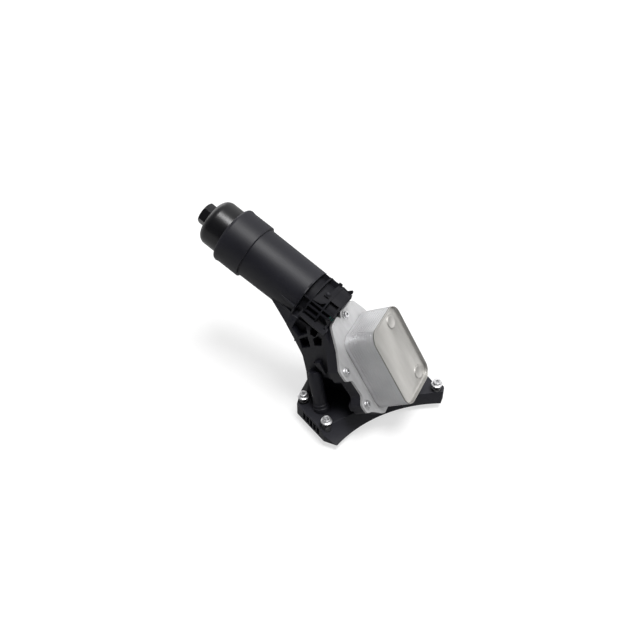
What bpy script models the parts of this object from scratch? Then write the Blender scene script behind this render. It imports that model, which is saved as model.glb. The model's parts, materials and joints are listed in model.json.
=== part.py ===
"""Oil filter housing with a plate oil cooler, for the side of a diesel engine block.

A black moulded housing stands on its engine face. A long filter bowl with a screw cap
leans away from its top, and a brazed aluminium plate cooler is screwed to its sloping pad.
Lengths are in metres. The engine face is the plane Z = 0, and +Z points out of the engine.
"""

import math

import bmesh
import bpy
from mathutils import Matrix, Vector

MM = 0.001

# Clearance between pieces that touch, and how far tools reach past a face
SEAT = 0.3 * MM
REACH = 5.0 * MM

# Mounting flange
FLANGE_THICKNESS = 22.0 * MM
FLANGE_EAR_RADIUS = 12.0 * MM
FRONT_ARC_CENTRE = (264.1 * MM, -116.0 * MM)
FRONT_ARC_RADIUS = 220.7 * MM
FRONT_ARC_TOP_CENTRE = (371.3 * MM, -265.1 * MM)
FRONT_ARC_TOP_RADIUS = 407.9 * MM
TOE_CORNER = (29.0 * MM, -56.5 * MM)
TOE_NOSE = (51.0 * MM, -57.0 * MM)
FLANGE_LEFT_X = -37.0 * MM
FLANGE_FRONT_CORNER = (160.0 * MM, 40.0 * MM)
# Row of pockets along the near edge
EDGE_ROW_START = (-16.5 * MM, -25.0 * MM)
EDGE_ROW_END = (20.0 * MM, -50.5 * MM)
EDGE_POCKETS = 5
EDGE_POCKET_DEPTH = 3.0 * MM
EDGE_POCKET_BORDER = 3.0 * MM
EDGE_RIB_THICKNESS = 2.4 * MM

# Captive mounting bolts, by their place on the flange
BOLT_PLACES = (
    (-25.0 * MM, -9.0 * MM),
    (28.0 * MM, -42.5 * MM),
    (164.5 * MM, 95.0 * MM),
    (70.0 * MM, 150.0 * MM),
    (-23.0 * MM, 118.0 * MM),
)
BOLT_SHANK_RADIUS = 4.0 * MM
BOLT_LENGTH = 45.0 * MM
BOLT_FLANGE_RADIUS = 9.0 * MM
BOLT_HEAD_RADIUS = 6.4 * MM
BOLT_HEAD_HEIGHT = 7.0 * MM
BOLT_RECESS_RADIUS = 3.8 * MM
BOLT_STANDS_PROUD = 8.0 * MM
SLEEVE_RADIUS = 7.2 * MM
SLEEVE_STANDS_PROUD = 3.5 * MM

# Ports in the engine face: name, place, bore radius
FEED_PORT = (11.0 * MM, -14.0 * MM, 6.0 * MM)
OIL_RETURN_PORT = (61.0 * MM, 47.9 * MM, 8.0 * MM)
COOLANT_OUT_PORT = (61.0 * MM, 77.9 * MM, 8.0 * MM)
COOLANT_IN_PORT = (10.0 * MM, 73.9 * MM, 8.0 * MM)
PORT_SEAL_WIDTH = 3.0 * MM
PORT_SEAL_HEIGHT = 2.4 * MM
PORT_SEAL_WALL = 2.0 * MM

# Filter bowl: the ridge is where the smooth tube meets the ribbed barrel
RIDGE_CENTRE = (-44.5 * MM, 57.0 * MM, 195.0 * MM)
BOWL_RISE = math.radians(20.0)
BOWL_TURN = math.radians(168.0)
COLLAR_LOW = 102.0 * MM
COLLAR_TOP = 150.0 * MM
COLLAR_RADIUS = 46.0 * MM
COLLAR_ROUND = 6.0 * MM
COLLAR_WALL = 5.2 * MM
BORE_STEP = 1.4 * MM
THREAD_BORE_RADIUS = COLLAR_RADIUS - COLLAR_WALL
THREAD_BORE_LOW = 129.0 * MM
SEAL_BORE_RADIUS = THREAD_BORE_RADIUS - BORE_STEP
SEAL_BORE_LOW = 108.0 * MM
BOWL_BORE_RADIUS = SEAL_BORE_RADIUS - BORE_STEP
BOWL_FLOOR = 3.0 * MM
TUBE_WALL = 3.3 * MM
TUBE_TAPER = 1.2 * MM
TUBE_RADIUS_AT_RIDGE = BOWL_BORE_RADIUS + TUBE_WALL
TUBE_RADIUS_AT_COLLAR = TUBE_RADIUS_AT_RIDGE + TUBE_TAPER
RIDGE_PLACE = -4.0 * MM
RIDGE_HEIGHT = 4.2 * MM
RIDGE_RADIUS = TUBE_RADIUS_AT_RIDGE + RIDGE_HEIGHT
RIDGE_THICKNESS = 2.6 * MM

# Ribbed barrel behind the ridge
BARREL_LENGTH = 60.0 * MM
BARREL_RIB_RADIUS = TUBE_RADIUS_AT_RIDGE
BARREL_RIB_DEPTH = 8.3 * MM
BARREL_CORE_RADIUS = BARREL_RIB_RADIUS - BARREL_RIB_DEPTH
RIB_THICKNESS = 2.4 * MM
BARREL_RINGS = (-18.0 * MM, -40.5 * MM)
# Lengthways fins: angle, low end, high end
BARREL_FINS = (
    (20.0, -41.0 * MM, -18.0 * MM),
    (35.0, -59.0 * MM, -16.0 * MM),
    (46.0, -59.0 * MM, -5.0 * MM),
    (128.0, -59.0 * MM, -5.0 * MM),
    (152.0, -59.0 * MM, -18.0 * MM),
    (180.0, -59.0 * MM, -18.0 * MM),
)
SHELF_HEIGHT = 7.9 * MM
# Shelf along the near side: reach beyond the ribs, distance along the bowl
SHELF_OUTLINE = (
    (-6.0 * MM, -64.0 * MM),
    (6.3 * MM, -64.0 * MM),
    (9.7 * MM, -44.0 * MM),
    (9.7 * MM, -22.0 * MM),
    (4.2 * MM, -14.0 * MM),
    (-6.0 * MM, -14.0 * MM),
)
SHOULDER_ANGLES = (70.0, 82.0, 94.0, 106.0, 118.0, 129.0)
SHOULDER_LOW = -61.5 * MM
SHOULDER_HIGH = -34.0 * MM
FACET_POINTS = ((52.0, -18.5 * MM), (86.0, -24.5 * MM), (66.0, -31.0 * MM))
PLUG_ANGLE = 76.5
PLUG_PLACE = -32.5 * MM
PLUG_SIZE = 8.0 * MM
EAR_ANGLE = 129.0
EAR_WIDTH = 4.0 * MM
# Ear at the foot of the barrel: reach beyond the ribs, distance along the bowl
EAR_OUTLINE = (
    (-9.0 * MM, -48.0 * MM),
    (-1.2 * MM, -48.0 * MM),
    (5.0 * MM, -54.0 * MM),
    (4.2 * MM, -56.0 * MM),
    (-2.5 * MM, -60.0 * MM),
    (-9.0 * MM, -62.0 * MM),
)
NUB_OUTLINE = (
    (-4.0 * MM, -31.5 * MM),
    (2.6 * MM, -31.5 * MM),
    (2.6 * MM, -37.5 * MM),
    (-4.0 * MM, -37.5 * MM),
)
TUBE_GUSSET_ANGLE = 13.0
TUBE_GUSSET_LENGTH = 24.0 * MM

# Fairing between the trunk's upper corner and the side of the tube
FAIRING_LENGTH = 40.0 * MM
FAIRING_TUBE_ANGLES = (-62.0, -36.0, -18.0)
FAIRING_RIM_ANGLES = (-88.0, -60.0, -30.0, -5.0)
FAIRING_ROOT = (
    (-57.0 * MM, 5.0 * MM, 171.0 * MM),
    (-57.0 * MM, 48.0 * MM, 166.0 * MM),
    (-40.0 * MM, 5.0 * MM, 150.0 * MM),
    (-30.0 * MM, 40.0 * MM, 168.0 * MM),
)

# Screw cap, by distances along the bowl
CAP_DOME_STEP = 2.5 * MM
CAP_DOME_RADIUS = THREAD_BORE_RADIUS - CAP_DOME_STEP
CAP_DOME_TOP = 188.5 * MM
CAP_DOME_ROUND = 14.0 * MM
CAP_WALL = 3.5 * MM
CAP_FLANGE_TOP = 149.4 * MM
CAP_THREAD_LOW = 132.0 * MM
CAP_SKIRT_LOW = 112.0 * MM
CAP_SKIRT_WALL = 4.6 * MM
CAP_GROOVE_LOW = 117.0 * MM
CAP_HEX_ACROSS_FLATS = 32.0 * MM
CAP_HEX_HEIGHT = 16.0 * MM
O_RING_RADIUS = 0.95 * MM
O_RING_SIDES = 5
VALVE_SOCKET_DEPTH = 10.0 * MM

# Filter element
MEDIA_LENGTH = 120.0 * MM
MEDIA_GAP = 4.5 * MM
MEDIA_RADIUS = BOWL_BORE_RADIUS - MEDIA_GAP
PLEAT_DEPTH = 9.0 * MM
MEDIA_ROOT_RADIUS = MEDIA_RADIUS - PLEAT_DEPTH
PLEATS = 24
PLEAT_PAPER = 2.6 * MM
END_CAP_THICKNESS = 3.5 * MM
CAGE_GAP = 2.0 * MM
CAGE_RADIUS = MEDIA_ROOT_RADIUS - CAGE_GAP
CAGE_WALL = 1.8 * MM
STANDPIPE_RADIUS = 9.0 * MM
STANDPIPE_WALL = 2.0 * MM
STANDPIPE_FOOT = -12.0 * MM
STANDPIPE_TOP = 96.0 * MM

# Bypass valve, in the dome of the cap
VALVE_RADIUS = 13.0 * MM
VALVE_LENGTH = 24.0 * MM
VALVE_WALL = 1.6 * MM
VALVE_SEAT_RADIUS = 7.5 * MM
POPPET_RADIUS = 9.5 * MM
POPPET_THICKNESS = 2.5 * MM
POPPET_STEM_RADIUS = 3.0 * MM
POPPET_STEM_LENGTH = 8.0 * MM
SPRING_RADIUS = 5.4 * MM
SPRING_WIRE = 0.7 * MM
SPRING_TURNS = 4

# Cooler pad: the plane slopes, and its long side runs down
PAD_ORIGIN = (66.9 * MM, 51.9 * MM, 94.2 * MM)
PAD_RISE = math.radians(32.0)
PAD_THICKNESS = 18.0 * MM
BASE_PLATE_THICKNESS = 4.0 * MM
PAD_FACE = -BASE_PLATE_THICKNESS - SEAT
BASE_PLATE_OUTLINE = (
    (-104.0, -36.0, 9.0),
    (-104.0, -14.0, 7.0),
    (-95.0, -8.5, 2.0),
    (-103.0, -3.0, 7.0),
    (-93.0, 38.0, 9.0),
    (-62.0, 52.0, 10.0),
    (-50.0, 52.0, 8.0),
    (-44.0, 70.0, 8.0),
    (-27.0, 70.0, 8.0),
    (-20.0, 56.0, 8.0),
    (16.0, 56.0, 8.0),
    (22.0, 70.0, 8.0),
    (39.0, 70.0, 8.0),
    (50.0, 54.0, 8.0),
    (74.5, 46.0, 10.0),
    (74.5, -44.0, 10.0),
    (50.0, -64.0, 8.0),
    (40.0, -77.0, 9.0),
    (24.0, -77.0, 8.0),
    (15.0, -64.0, 8.0),
    (-18.0, -64.0, 8.0),
    (-26.0, -76.0, 8.0),
    (-47.0, -76.0, 9.0),
    (-70.0, -55.0, 20.0),
)

# Plate stack on the pad
STACK_PLACE = (0.0, 1.6 * MM)
STACK_TURN = math.radians(-5.4)
STACK_LENGTH = 139.5 * MM
STACK_WIDTH = 93.5 * MM
STACK_CORNER_RADIUS = 20.0 * MM
PLATE_COUNT = 11
PLATE_PITCH = 4.45 * MM
PLATE_GAUGE = 0.6 * MM
PLATE_RIM_HEIGHT = 8.0 * MM
PLATE_RIM_FLARE = 0.21
COVER_GAUGE = 0.9 * MM
COVER_RIM_HEIGHT = 6.0 * MM
COOLER_PORT_RADIUS = 8.0 * MM
COOLER_PORTS = (
    (-44.0 * MM, -20.0 * MM),
    (44.0 * MM, -4.0 * MM),
    (44.0 * MM, 26.0 * MM),
    (-44.0 * MM, 22.0 * MM),
)
EMBOSSING_RADIUS = 12.0 * MM
EMBOSSING_HEIGHT = 1.6 * MM
EMBOSSING_PLACES = ((-49.0 * MM, 21.0 * MM), (51.0 * MM, 22.5 * MM))

# Cooler screws on the pad
SCREW_PLACES = (
    (-92.0 * MM, 4.0 * MM),
    (-37.0 * MM, -65.5 * MM),
    (31.0 * MM, -67.0 * MM),
    (30.5 * MM, 61.0 * MM),
    (-35.5 * MM, 61.0 * MM),
)
SCREW_SHANK_RADIUS = 3.0 * MM
SCREW_LENGTH = 18.0 * MM
SCREW_FLANGE_RADIUS = 7.0 * MM
SCREW_HEAD_RADIUS = 5.2 * MM
SCREW_HEAD_HEIGHT = 4.6 * MM
SCREW_RECESS_RADIUS = 2.9 * MM
SCREW_BOSS_RADIUS = 8.0 * MM
SCREW_BOSS_LENGTH = 24.0 * MM

# Gasket between housing and cooler
GASKET_THICKNESS = 2.0 * MM
GASKET_LAND = 4.0 * MM
GASKET_BAR_WIDTH = 4.0 * MM
GASKET_TAB_END = -112.0 * MM
GASKET_TAB_Y = -21.0 * MM

# Trunk between the flange and the bowl, from the side: X, Z, corner radius
TRUNK_OUTLINE = (
    (-27.0, 10.0, 0.0),
    (-22.5, 48.0, 30.0),
    (-25.0, 80.0, 30.0),
    (-31.0, 114.0, 30.0),
    (-43.5, 143.0, 30.0),
    (-57.0, 172.0, 3.0),
    (-52.0, 188.0, 0.0),
    (6.0, 171.0, 0.0),
    (90.0, 34.0, 0.0),
    (82.0, 10.0, 0.0),
)
TRUNK_NEAR_Y = 4.0 * MM
TRUNK_FAR_Y = 96.0 * MM
TRUNK_ROOF_LOW_Z = 172.0 * MM
TRUNK_ROOF_RUN = 14.0 * MM
RECESS_OUTLINE = ((-12.0, -20.0), (160.0, -20.0), (160.0, 112.0), (-2.0, 76.0), (-12.0, 76.0))
RECESS_FAR_Y = 34.0 * MM
NEAR_POCKETS = (
    ((-48.0, 168.0), (-41.0, 184.0), (-25.0, 177.0), (-22.0, 165.0), (-37.0, 152.5)),
    ((-36.0, 148.0), (-22.0, 159.0), (-17.5, 137.0), (-31.5, 129.5)),
    ((-18.0, 180.0), (-5.0, 173.0), (-10.0, 161.0), (-18.0, 165.0)),
    ((-13.5, 157.0), (-4.0, 167.0), (1.0, 163.0), (1.0, 147.0), (-10.5, 142.5)),
    ((-9.0, 112.0), (-3.0, 110.0), (6.0, 92.0), (-8.0, 92.0), (-12.0, 103.0)),
)
# Small tabs on the back edge: X, Z of the corner
TRUNK_TABS = ((-55.5, 168.0), (-44.5, 139.5))
TAB_SIZE = 4.0 * MM
NEAR_POCKET_DEPTH = 13.0 * MM
FAR_POCKETS = (
    ((24.0, 30.0), (50.0, 30.0), (48.0, 84.0), (24.0, 100.0)),
    ((-20.0, 30.0), (-2.0, 30.0), (-2.0, 112.0), (-22.0, 112.0), (-18.5, 60.0)),
)
FAR_POCKET_DEPTH = 38.0 * MM
WEDGE_FIN = ((-9.0, 110.0), (-7.0, 113.0), (0.0, 116.0), (11.0, 94.0), (8.0, 92.0))

# Riser column on the flange
COLUMN_FOOT = (8.0 * MM, -12.5 * MM, 20.0 * MM)
COLUMN_HEAD = (-10.5 * MM, 0.0, 90.0 * MM)
COLUMN_RADIUS = 11.0 * MM
COLUMN_FOOT_RADIUS = 13.5 * MM
RISER_RADIUS = 6.0 * MM

# Oil and water ways inside the moulding
FEED_TURN = (-4.0 * MM, 26.0 * MM, 84.0 * MM)
FEED_INLET = (24.0 * MM, 6.0 * MM, BOWL_FLOOR + 2.0 * MM)
GALLERY_RADIUS = 6.5 * MM
GALLERY_DEPTH = 22.0 * MM
GALLERY_START = 2 * STANDPIPE_FOOT - 20.0 * MM
COOLER_PORT_DEPTHS = (24.0 * MM, 32.0 * MM, 32.0 * MM, 37.0 * MM)
OIL_RETURN_RISE = 42.0 * MM
COOLANT_OUT_RISE = 42.0 * MM
COOLANT_IN_RISE = 114.0 * MM

ROUND_SEGMENTS = 28
SMALL_SEGMENTS = 12


def frame_from(origin, x_axis, y_axis, z_axis):
    rotation = Matrix((x_axis, y_axis, z_axis)).transposed().to_4x4()
    return Matrix.Translation(Vector(origin)) @ rotation


def bowl_frame():
    """Local Z runs up the bowl to the cap, and local Y is its upper side."""
    rise, turn = BOWL_RISE, BOWL_TURN
    axis = Vector((math.cos(rise) * math.cos(turn), math.cos(rise) * math.sin(turn), math.sin(rise)))
    upper = Vector((-math.sin(rise) * math.cos(turn), -math.sin(rise) * math.sin(turn), math.cos(rise)))
    return frame_from(RIDGE_CENTRE, upper.cross(axis), upper, axis)


def pad_frame():
    """Local Z points out of the pad, and local X runs down its long side."""
    normal = Vector((math.cos(PAD_RISE), 0.0, math.sin(PAD_RISE)))
    down = Vector((math.sin(PAD_RISE), 0.0, -math.cos(PAD_RISE)))
    return frame_from(PAD_ORIGIN, down, normal.cross(down), normal)


def side_frame():
    """Local X is X, local Y is Z and local Z is -Y, for outlines drawn from the side."""
    return frame_from((0.0, 0.0, 0.0), Vector((1, 0, 0)), Vector((0, 0, 1)), Vector((0, -1, 0)))


def frame_along(start, end):
    """Local Z runs from start to end."""
    direction = Vector(end) - Vector(start)
    return Matrix.Translation(Vector(start)) @ direction.to_track_quat("Z", "Y").to_matrix().to_4x4()


WORLD = Matrix.Identity(4)
BOWL = bowl_frame()
PAD = pad_frame()
STACK = PAD @ Matrix.Translation((*STACK_PLACE, 0.0)) @ Matrix.Rotation(STACK_TURN, 4, "Z")
SIDE = side_frame()


# Scene and materials

def clear_scene():
    for item in list(bpy.data.objects):
        bpy.data.objects.remove(item, do_unlink=True)


def new_collection(name):
    collection = bpy.data.collections.new(name)
    bpy.context.scene.collection.children.link(collection)
    return collection


def new_material(name, colour, roughness, metallic):
    material = bpy.data.materials.new(name)
    material.use_nodes = True
    shader = material.node_tree.nodes["Principled BSDF"]
    shader.inputs["Base Color"].default_value = (*colour, 1.0)
    shader.inputs["Roughness"].default_value = roughness
    shader.inputs["Metallic"].default_value = metallic
    return material


def make_tool(mesh, frame):
    """An object that only shapes another one."""
    tool = bpy.data.objects.new("tool", mesh)
    tool.matrix_world = frame
    TOOLS.objects.link(tool)
    tool.hide_render = True
    tool.display_type = "WIRE"
    return tool


def make_part(name, mesh, material, frame=WORLD, smooth_angle=30.0):
    part = bpy.data.objects.new(name, mesh)
    part.matrix_world = frame
    PARTS.objects.link(part)
    mesh.name = name
    mesh.materials.clear()
    mesh.materials.append(material)
    mesh.shade_smooth()
    mesh.set_sharp_from_angle(angle=math.radians(smooth_angle))
    return part


# Basic solids

def mesh_from(build):
    shape = bmesh.new()
    build(shape)
    mesh = bpy.data.meshes.new("solid")
    shape.to_mesh(mesh)
    shape.free()
    return mesh


def box_mesh(low, high):
    low, high = Vector(low), Vector(high)

    def build(shape):
        bmesh.ops.create_cube(shape, size=1.0)
        bmesh.ops.scale(shape, vec=high - low, verts=shape.verts)
        bmesh.ops.translate(shape, vec=(low + high) / 2, verts=shape.verts)

    return mesh_from(build)


def cylinder_mesh(radius, low, high, place=(0.0, 0.0), segments=SMALL_SEGMENTS, top_radius=None):
    top_radius = radius if top_radius is None else top_radius

    def build(shape):
        bmesh.ops.create_cone(
            shape, cap_ends=True, segments=segments, radius1=radius, radius2=top_radius, depth=high - low
        )
        bmesh.ops.translate(shape, vec=(place[0], place[1], (low + high) / 2), verts=shape.verts)

    return mesh_from(build)


def in_mm(points):
    return [tuple(value * MM for value in point) for point in points]


def round_corners(points, steps=2):
    """Replace each corner (x, y, radius) of a closed outline with a curved run of points."""
    outline = []
    count = len(points)
    for index, (x, y, radius) in enumerate(points):
        here = Vector((x, y))
        before = Vector(points[index - 1][:2]) - here
        after = Vector(points[(index + 1) % count][:2]) - here
        if radius <= 0:
            outline.append(here)
            continue
        reach = min(radius / math.tan(before.angle(after) / 2), 0.46 * before.length, 0.46 * after.length)
        start = here + before.normalized() * reach
        end = here + after.normalized() * reach
        for step in range(steps + 1):
            share = step / steps
            outline.append(start.lerp(here, share).lerp(here.lerp(end, share), share))
    return outline


def evaluated_mesh(item):
    bpy.context.view_layer.update()
    evaluated = item.evaluated_get(bpy.context.evaluated_depsgraph_get())
    return bpy.data.meshes.new_from_object(evaluated)


def outline_mesh(outline, low, high):
    """A flat outline, filled and given thickness from low to high along local Z."""
    curve = bpy.data.curves.new("outline", "CURVE")
    curve.dimensions = "2D"
    curve.fill_mode = "BOTH"
    curve.extrude = (high - low) / 2
    spline = curve.splines.new("POLY")
    spline.points.add(len(outline) - 1)
    for point, place in zip(spline.points, outline):
        point.co = (place[0], place[1], 0.0, 1.0)
    spline.use_cyclic_u = True
    holder = make_tool(curve, WORLD)
    mesh = evaluated_mesh(holder)
    bpy.data.objects.remove(holder, do_unlink=True)
    shape = bmesh.new()
    shape.from_mesh(mesh)
    bmesh.ops.remove_doubles(shape, verts=shape.verts, dist=1e-6)
    bmesh.ops.dissolve_limit(shape, angle_limit=1e-4, verts=shape.verts, edges=shape.edges)
    bmesh.ops.translate(shape, vec=(0, 0, (low + high) / 2), verts=shape.verts)
    bmesh.ops.recalc_face_normals(shape, faces=shape.faces)
    shape.to_mesh(mesh)
    shape.free()
    return mesh


def turned_mesh(profile, segments=ROUND_SEGMENTS):
    """A turned solid: (radius, height) points run down the outer side, then back up inside."""
    line = bpy.data.meshes.new("profile")
    edges = [(index, index + 1) for index in range(len(profile) - 1)]
    if profile[0][0] > 0 and profile[-1][0] > 0:
        edges.append((len(profile) - 1, 0))
    line.from_pydata([(radius, 0.0, height) for radius, height in profile], edges, [])
    holder = make_tool(line, WORLD)
    screw = holder.modifiers.new("turn", "SCREW")
    screw.steps = segments
    screw.render_steps = segments
    screw.use_merge_vertices = True
    screw.merge_threshold = 1e-6
    screw.use_smooth_shade = False
    mesh = evaluated_mesh(holder)
    bpy.data.objects.remove(holder, do_unlink=True)
    return mesh


def arc(centre, radius, start, end, steps):
    """Profile points on an arc, with angles in degrees."""
    points = []
    for step in range(steps + 1):
        angle = math.radians(start + (end - start) * step / steps)
        points.append((centre[0] + radius * math.cos(angle), centre[1] + radius * math.sin(angle)))
    return points


def ring_mesh(outer, inner, low, high, segments=SMALL_SEGMENTS):
    return turned_mesh([(outer, high), (outer, low), (inner, low), (inner, high)], segments)


def loft_mesh(rings):
    """A closed solid through rings with the same number of points; the rings come back to the first."""
    def build(shape):
        rows = [[shape.verts.new(point) for point in ring] for ring in rings]
        count = len(rows[0])
        for low, high in zip(rows, rows[1:]):
            for index in range(count):
                after = (index + 1) % count
                shape.faces.new((low[index], low[after], high[after], high[index]))
        shape.faces.new(reversed(rows[0]))
        shape.faces.new(rows[-1])

    return mesh_from(build)


def hull_mesh(points):
    def build(shape):
        for point in points:
            shape.verts.new(point)
        bmesh.ops.convex_hull(shape, input=shape.verts)

    return mesh_from(build)


# Boolean steps on one solid

def combined(mesh, tool_mesh, operation, frame=WORLD):
    """The mesh joined with, or cut by, a tool that stands in the given frame."""
    body = make_tool(mesh, WORLD)
    tool = make_tool(tool_mesh, frame)
    step = body.modifiers.new(operation.lower(), "BOOLEAN")
    step.operation = operation
    step.object = tool
    step.solver = "EXACT"
    result = evaluated_mesh(body)
    bpy.data.objects.remove(body, do_unlink=True)
    bpy.data.objects.remove(tool, do_unlink=True)
    return result


def joined(mesh, tool_mesh, frame=WORLD):
    return combined(mesh, tool_mesh, "UNION", frame)


def cut(mesh, tool_mesh, frame=WORLD):
    return combined(mesh, tool_mesh, "DIFFERENCE", frame)


def cleaned(mesh):
    """Merge points that fall together and drop edges without length."""
    shape = bmesh.new()
    shape.from_mesh(mesh)
    bmesh.ops.remove_doubles(shape, verts=shape.verts, dist=5e-6)
    bmesh.ops.dissolve_degenerate(shape, dist=5e-6, edges=shape.edges)
    shape.to_mesh(mesh)
    shape.free()
    return mesh


def six_lobe_mesh(radius, low, high):
    """A prism with six lobes, for a star drive."""
    outline = []
    for step in range(12):
        reach = radius if step % 2 == 0 else 0.74 * radius
        outline.append((reach * math.cos(math.pi * step / 6), reach * math.sin(math.pi * step / 6)))
    return outline_mesh(outline, low, high)


# Housing: flange, column, trunk, pad and bowl in one moulding

def flange_mesh():
    first, toe_bolt, ear, rear, left = BOLT_PLACES
    reach = FLANGE_EAR_RADIUS
    corners = [
        (FLANGE_LEFT_X, first[1] + 1.3 * reach, 6.0 * MM),
        (first[0] - 0.6 * reach, first[1] - 0.9 * reach, 6.0 * MM),
        (*TOE_CORNER, 1.0 * MM),
        (*TOE_NOSE, 4.0 * MM),
        (*FLANGE_FRONT_CORNER, 0.0),
        (ear[0] + reach, ear[1] - 1.4 * reach, 0.0),
        (ear[0] + reach, ear[1] + reach, 10.0 * MM),
        (ear[0] - 0.8 * reach, ear[1] + 1.05 * reach, 8.0 * MM),
        (rear[0] + 1.1 * reach, rear[1] + reach, 10.0 * MM),
        (rear[0] - 0.9 * reach, rear[1] + reach, 10.0 * MM),
        (left[0] + reach, left[1] + reach, 8.0 * MM),
        (left[0] - reach, left[1] + reach, 8.0 * MM),
        (FLANGE_LEFT_X, left[1] - reach, 6.0 * MM),
    ]
    mesh = outline_mesh(round_corners(corners), 0.0, FLANGE_THICKNESS)
    return cut(mesh, front_arc_mesh())


def front_arc_mesh():
    """The leaning cone that clears the front of the flange, wider at its top face."""
    low, high = -0.2, 1.2
    centre, top_centre = Vector(FRONT_ARC_CENTRE), Vector(FRONT_ARC_TOP_CENTRE)
    lean = (top_centre - centre) / FLANGE_THICKNESS
    growth = (FRONT_ARC_TOP_RADIUS - FRONT_ARC_RADIUS) / FLANGE_THICKNESS
    bottom, top = low * FLANGE_THICKNESS, high * FLANGE_THICKNESS

    def build(shape):
        bmesh.ops.create_cone(
            shape,
            cap_ends=True,
            segments=96,
            radius1=FRONT_ARC_RADIUS + growth * bottom,
            radius2=FRONT_ARC_RADIUS + growth * top,
            depth=top - bottom,
        )
        bmesh.ops.translate(shape, vec=(0, 0, (top + bottom) / 2), verts=shape.verts)
        for vertex in shape.verts:
            vertex.co.x += centre.x + lean.x * vertex.co.z
            vertex.co.y += centre.y + lean.y * vertex.co.z

    return mesh_from(build)


def trunk_mesh():
    outline = round_corners(in_mm(TRUNK_OUTLINE))
    mesh = combined(
        box_mesh((-1, -1, -1), (1, 1, 1)), outline_mesh(outline, -TRUNK_FAR_Y, -TRUNK_NEAR_Y), "INTERSECT", SIDE
    )
    roof = [
        (TRUNK_NEAR_Y - TRUNK_ROOF_RUN, TRUNK_ROOF_LOW_Z - 2 * TRUNK_ROOF_RUN),
        (TRUNK_NEAR_Y + TRUNK_ROOF_RUN, TRUNK_ROOF_LOW_Z + 2 * TRUNK_ROOF_RUN),
        (TRUNK_NEAR_Y - TRUNK_ROOF_RUN, TRUNK_ROOF_LOW_Z + 2 * TRUNK_ROOF_RUN),
    ]
    across = frame_from((0.0, 0.0, 0.0), Vector((0, 1, 0)), Vector((0, 0, 1)), Vector((1, 0, 0)))
    mesh = cut(mesh, outline_mesh(roof, -150 * MM, 150 * MM), across)
    mesh = cut(mesh, outline_mesh(in_mm(RECESS_OUTLINE), -RECESS_FAR_Y, 100 * MM), SIDE)
    for pocket in FAR_POCKETS:
        tool = outline_mesh(in_mm(pocket), -TRUNK_FAR_Y - REACH, FAR_POCKET_DEPTH - TRUNK_FAR_Y)
        mesh = cut(mesh, tool, SIDE)
    return mesh


def column_mesh():
    """The leaning riser, stepped at its foot."""
    length = (Vector(COLUMN_HEAD) - Vector(COLUMN_FOOT)).length
    profile = [
        (0.0, length),
        (COLUMN_RADIUS - 3.0 * MM, length),
        (COLUMN_RADIUS, length - 6.0 * MM),
        (COLUMN_RADIUS, 14.0 * MM),
        (COLUMN_RADIUS + 1.2 * MM, 13.0 * MM),
        (COLUMN_RADIUS + 1.2 * MM, 8.0 * MM),
        (COLUMN_FOOT_RADIUS, 7.0 * MM),
        (COLUMN_FOOT_RADIUS, -4.0 * MM),
        (0.0, -4.0 * MM),
    ]
    return turned_mesh(profile, 20)


def bowl_mesh():
    """Outside of the bowl: rounded collar, tube, ridge and ribbed barrel."""
    half_ridge = RIDGE_THICKNESS / 2
    half_rib = RIB_THICKNESS / 2
    profile = [(0.0, COLLAR_TOP)]
    profile += reversed(arc((COLLAR_RADIUS - COLLAR_ROUND + 1 * MM, COLLAR_TOP - COLLAR_ROUND),
                            COLLAR_ROUND, 0, 90, 3))
    profile += [
        (COLLAR_RADIUS, COLLAR_TOP - 2 * COLLAR_ROUND),
        (COLLAR_RADIUS, COLLAR_LOW + 1.0 * MM),
        (COLLAR_RADIUS - 1.0 * MM, COLLAR_LOW),
        (TUBE_RADIUS_AT_COLLAR, COLLAR_LOW),
        (TUBE_RADIUS_AT_RIDGE, RIDGE_PLACE + half_ridge),
        (RIDGE_RADIUS, RIDGE_PLACE + half_ridge),
        (RIDGE_RADIUS, RIDGE_PLACE - half_ridge),
        (BARREL_CORE_RADIUS, RIDGE_PLACE - half_ridge),
    ]
    for ring in BARREL_RINGS:
        profile += [
            (BARREL_CORE_RADIUS, ring + half_rib),
            (BARREL_RIB_RADIUS, ring + half_rib),
            (BARREL_RIB_RADIUS, ring - half_rib),
            (BARREL_CORE_RADIUS, ring - half_rib),
        ]
    profile += [
        (BARREL_CORE_RADIUS, RIB_THICKNESS - BARREL_LENGTH),
        (BARREL_RIB_RADIUS, RIB_THICKNESS - BARREL_LENGTH),
        (BARREL_RIB_RADIUS, -BARREL_LENGTH),
        (0.0, -BARREL_LENGTH),
    ]
    return turned_mesh(profile)


def bowl_bore_mesh():
    """Inside of the bowl: thread bore, sealing bore, filter space and standpipe seat."""
    profile = [
        (0.0, COLLAR_TOP + REACH),
        (THREAD_BORE_RADIUS, COLLAR_TOP + REACH),
        (THREAD_BORE_RADIUS, THREAD_BORE_LOW),
        (SEAL_BORE_RADIUS, THREAD_BORE_LOW - 1.4 * MM),
        (SEAL_BORE_RADIUS, SEAL_BORE_LOW),
        (BOWL_BORE_RADIUS, SEAL_BORE_LOW - 1.4 * MM),
        (BOWL_BORE_RADIUS, BOWL_FLOOR),
        (STANDPIPE_RADIUS + SEAT, BOWL_FLOOR),
        (STANDPIPE_RADIUS + SEAT, STANDPIPE_FOOT - SEAT),
        (0.0, STANDPIPE_FOOT - SEAT),
    ]
    return turned_mesh(profile)


def fin_mesh(low, high, inner, outer, thickness):
    """A lengthways fin of the barrel, standing along local X."""
    return box_mesh((inner, -thickness / 2, low), (outer, thickness / 2, high))


def bowl_point(radius, degrees, height):
    """A point on the bowl, by angle from its near side towards its upper side."""
    angle = math.radians(degrees)
    return BOWL @ Vector((radius * math.cos(angle), radius * math.sin(angle), height))


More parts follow.
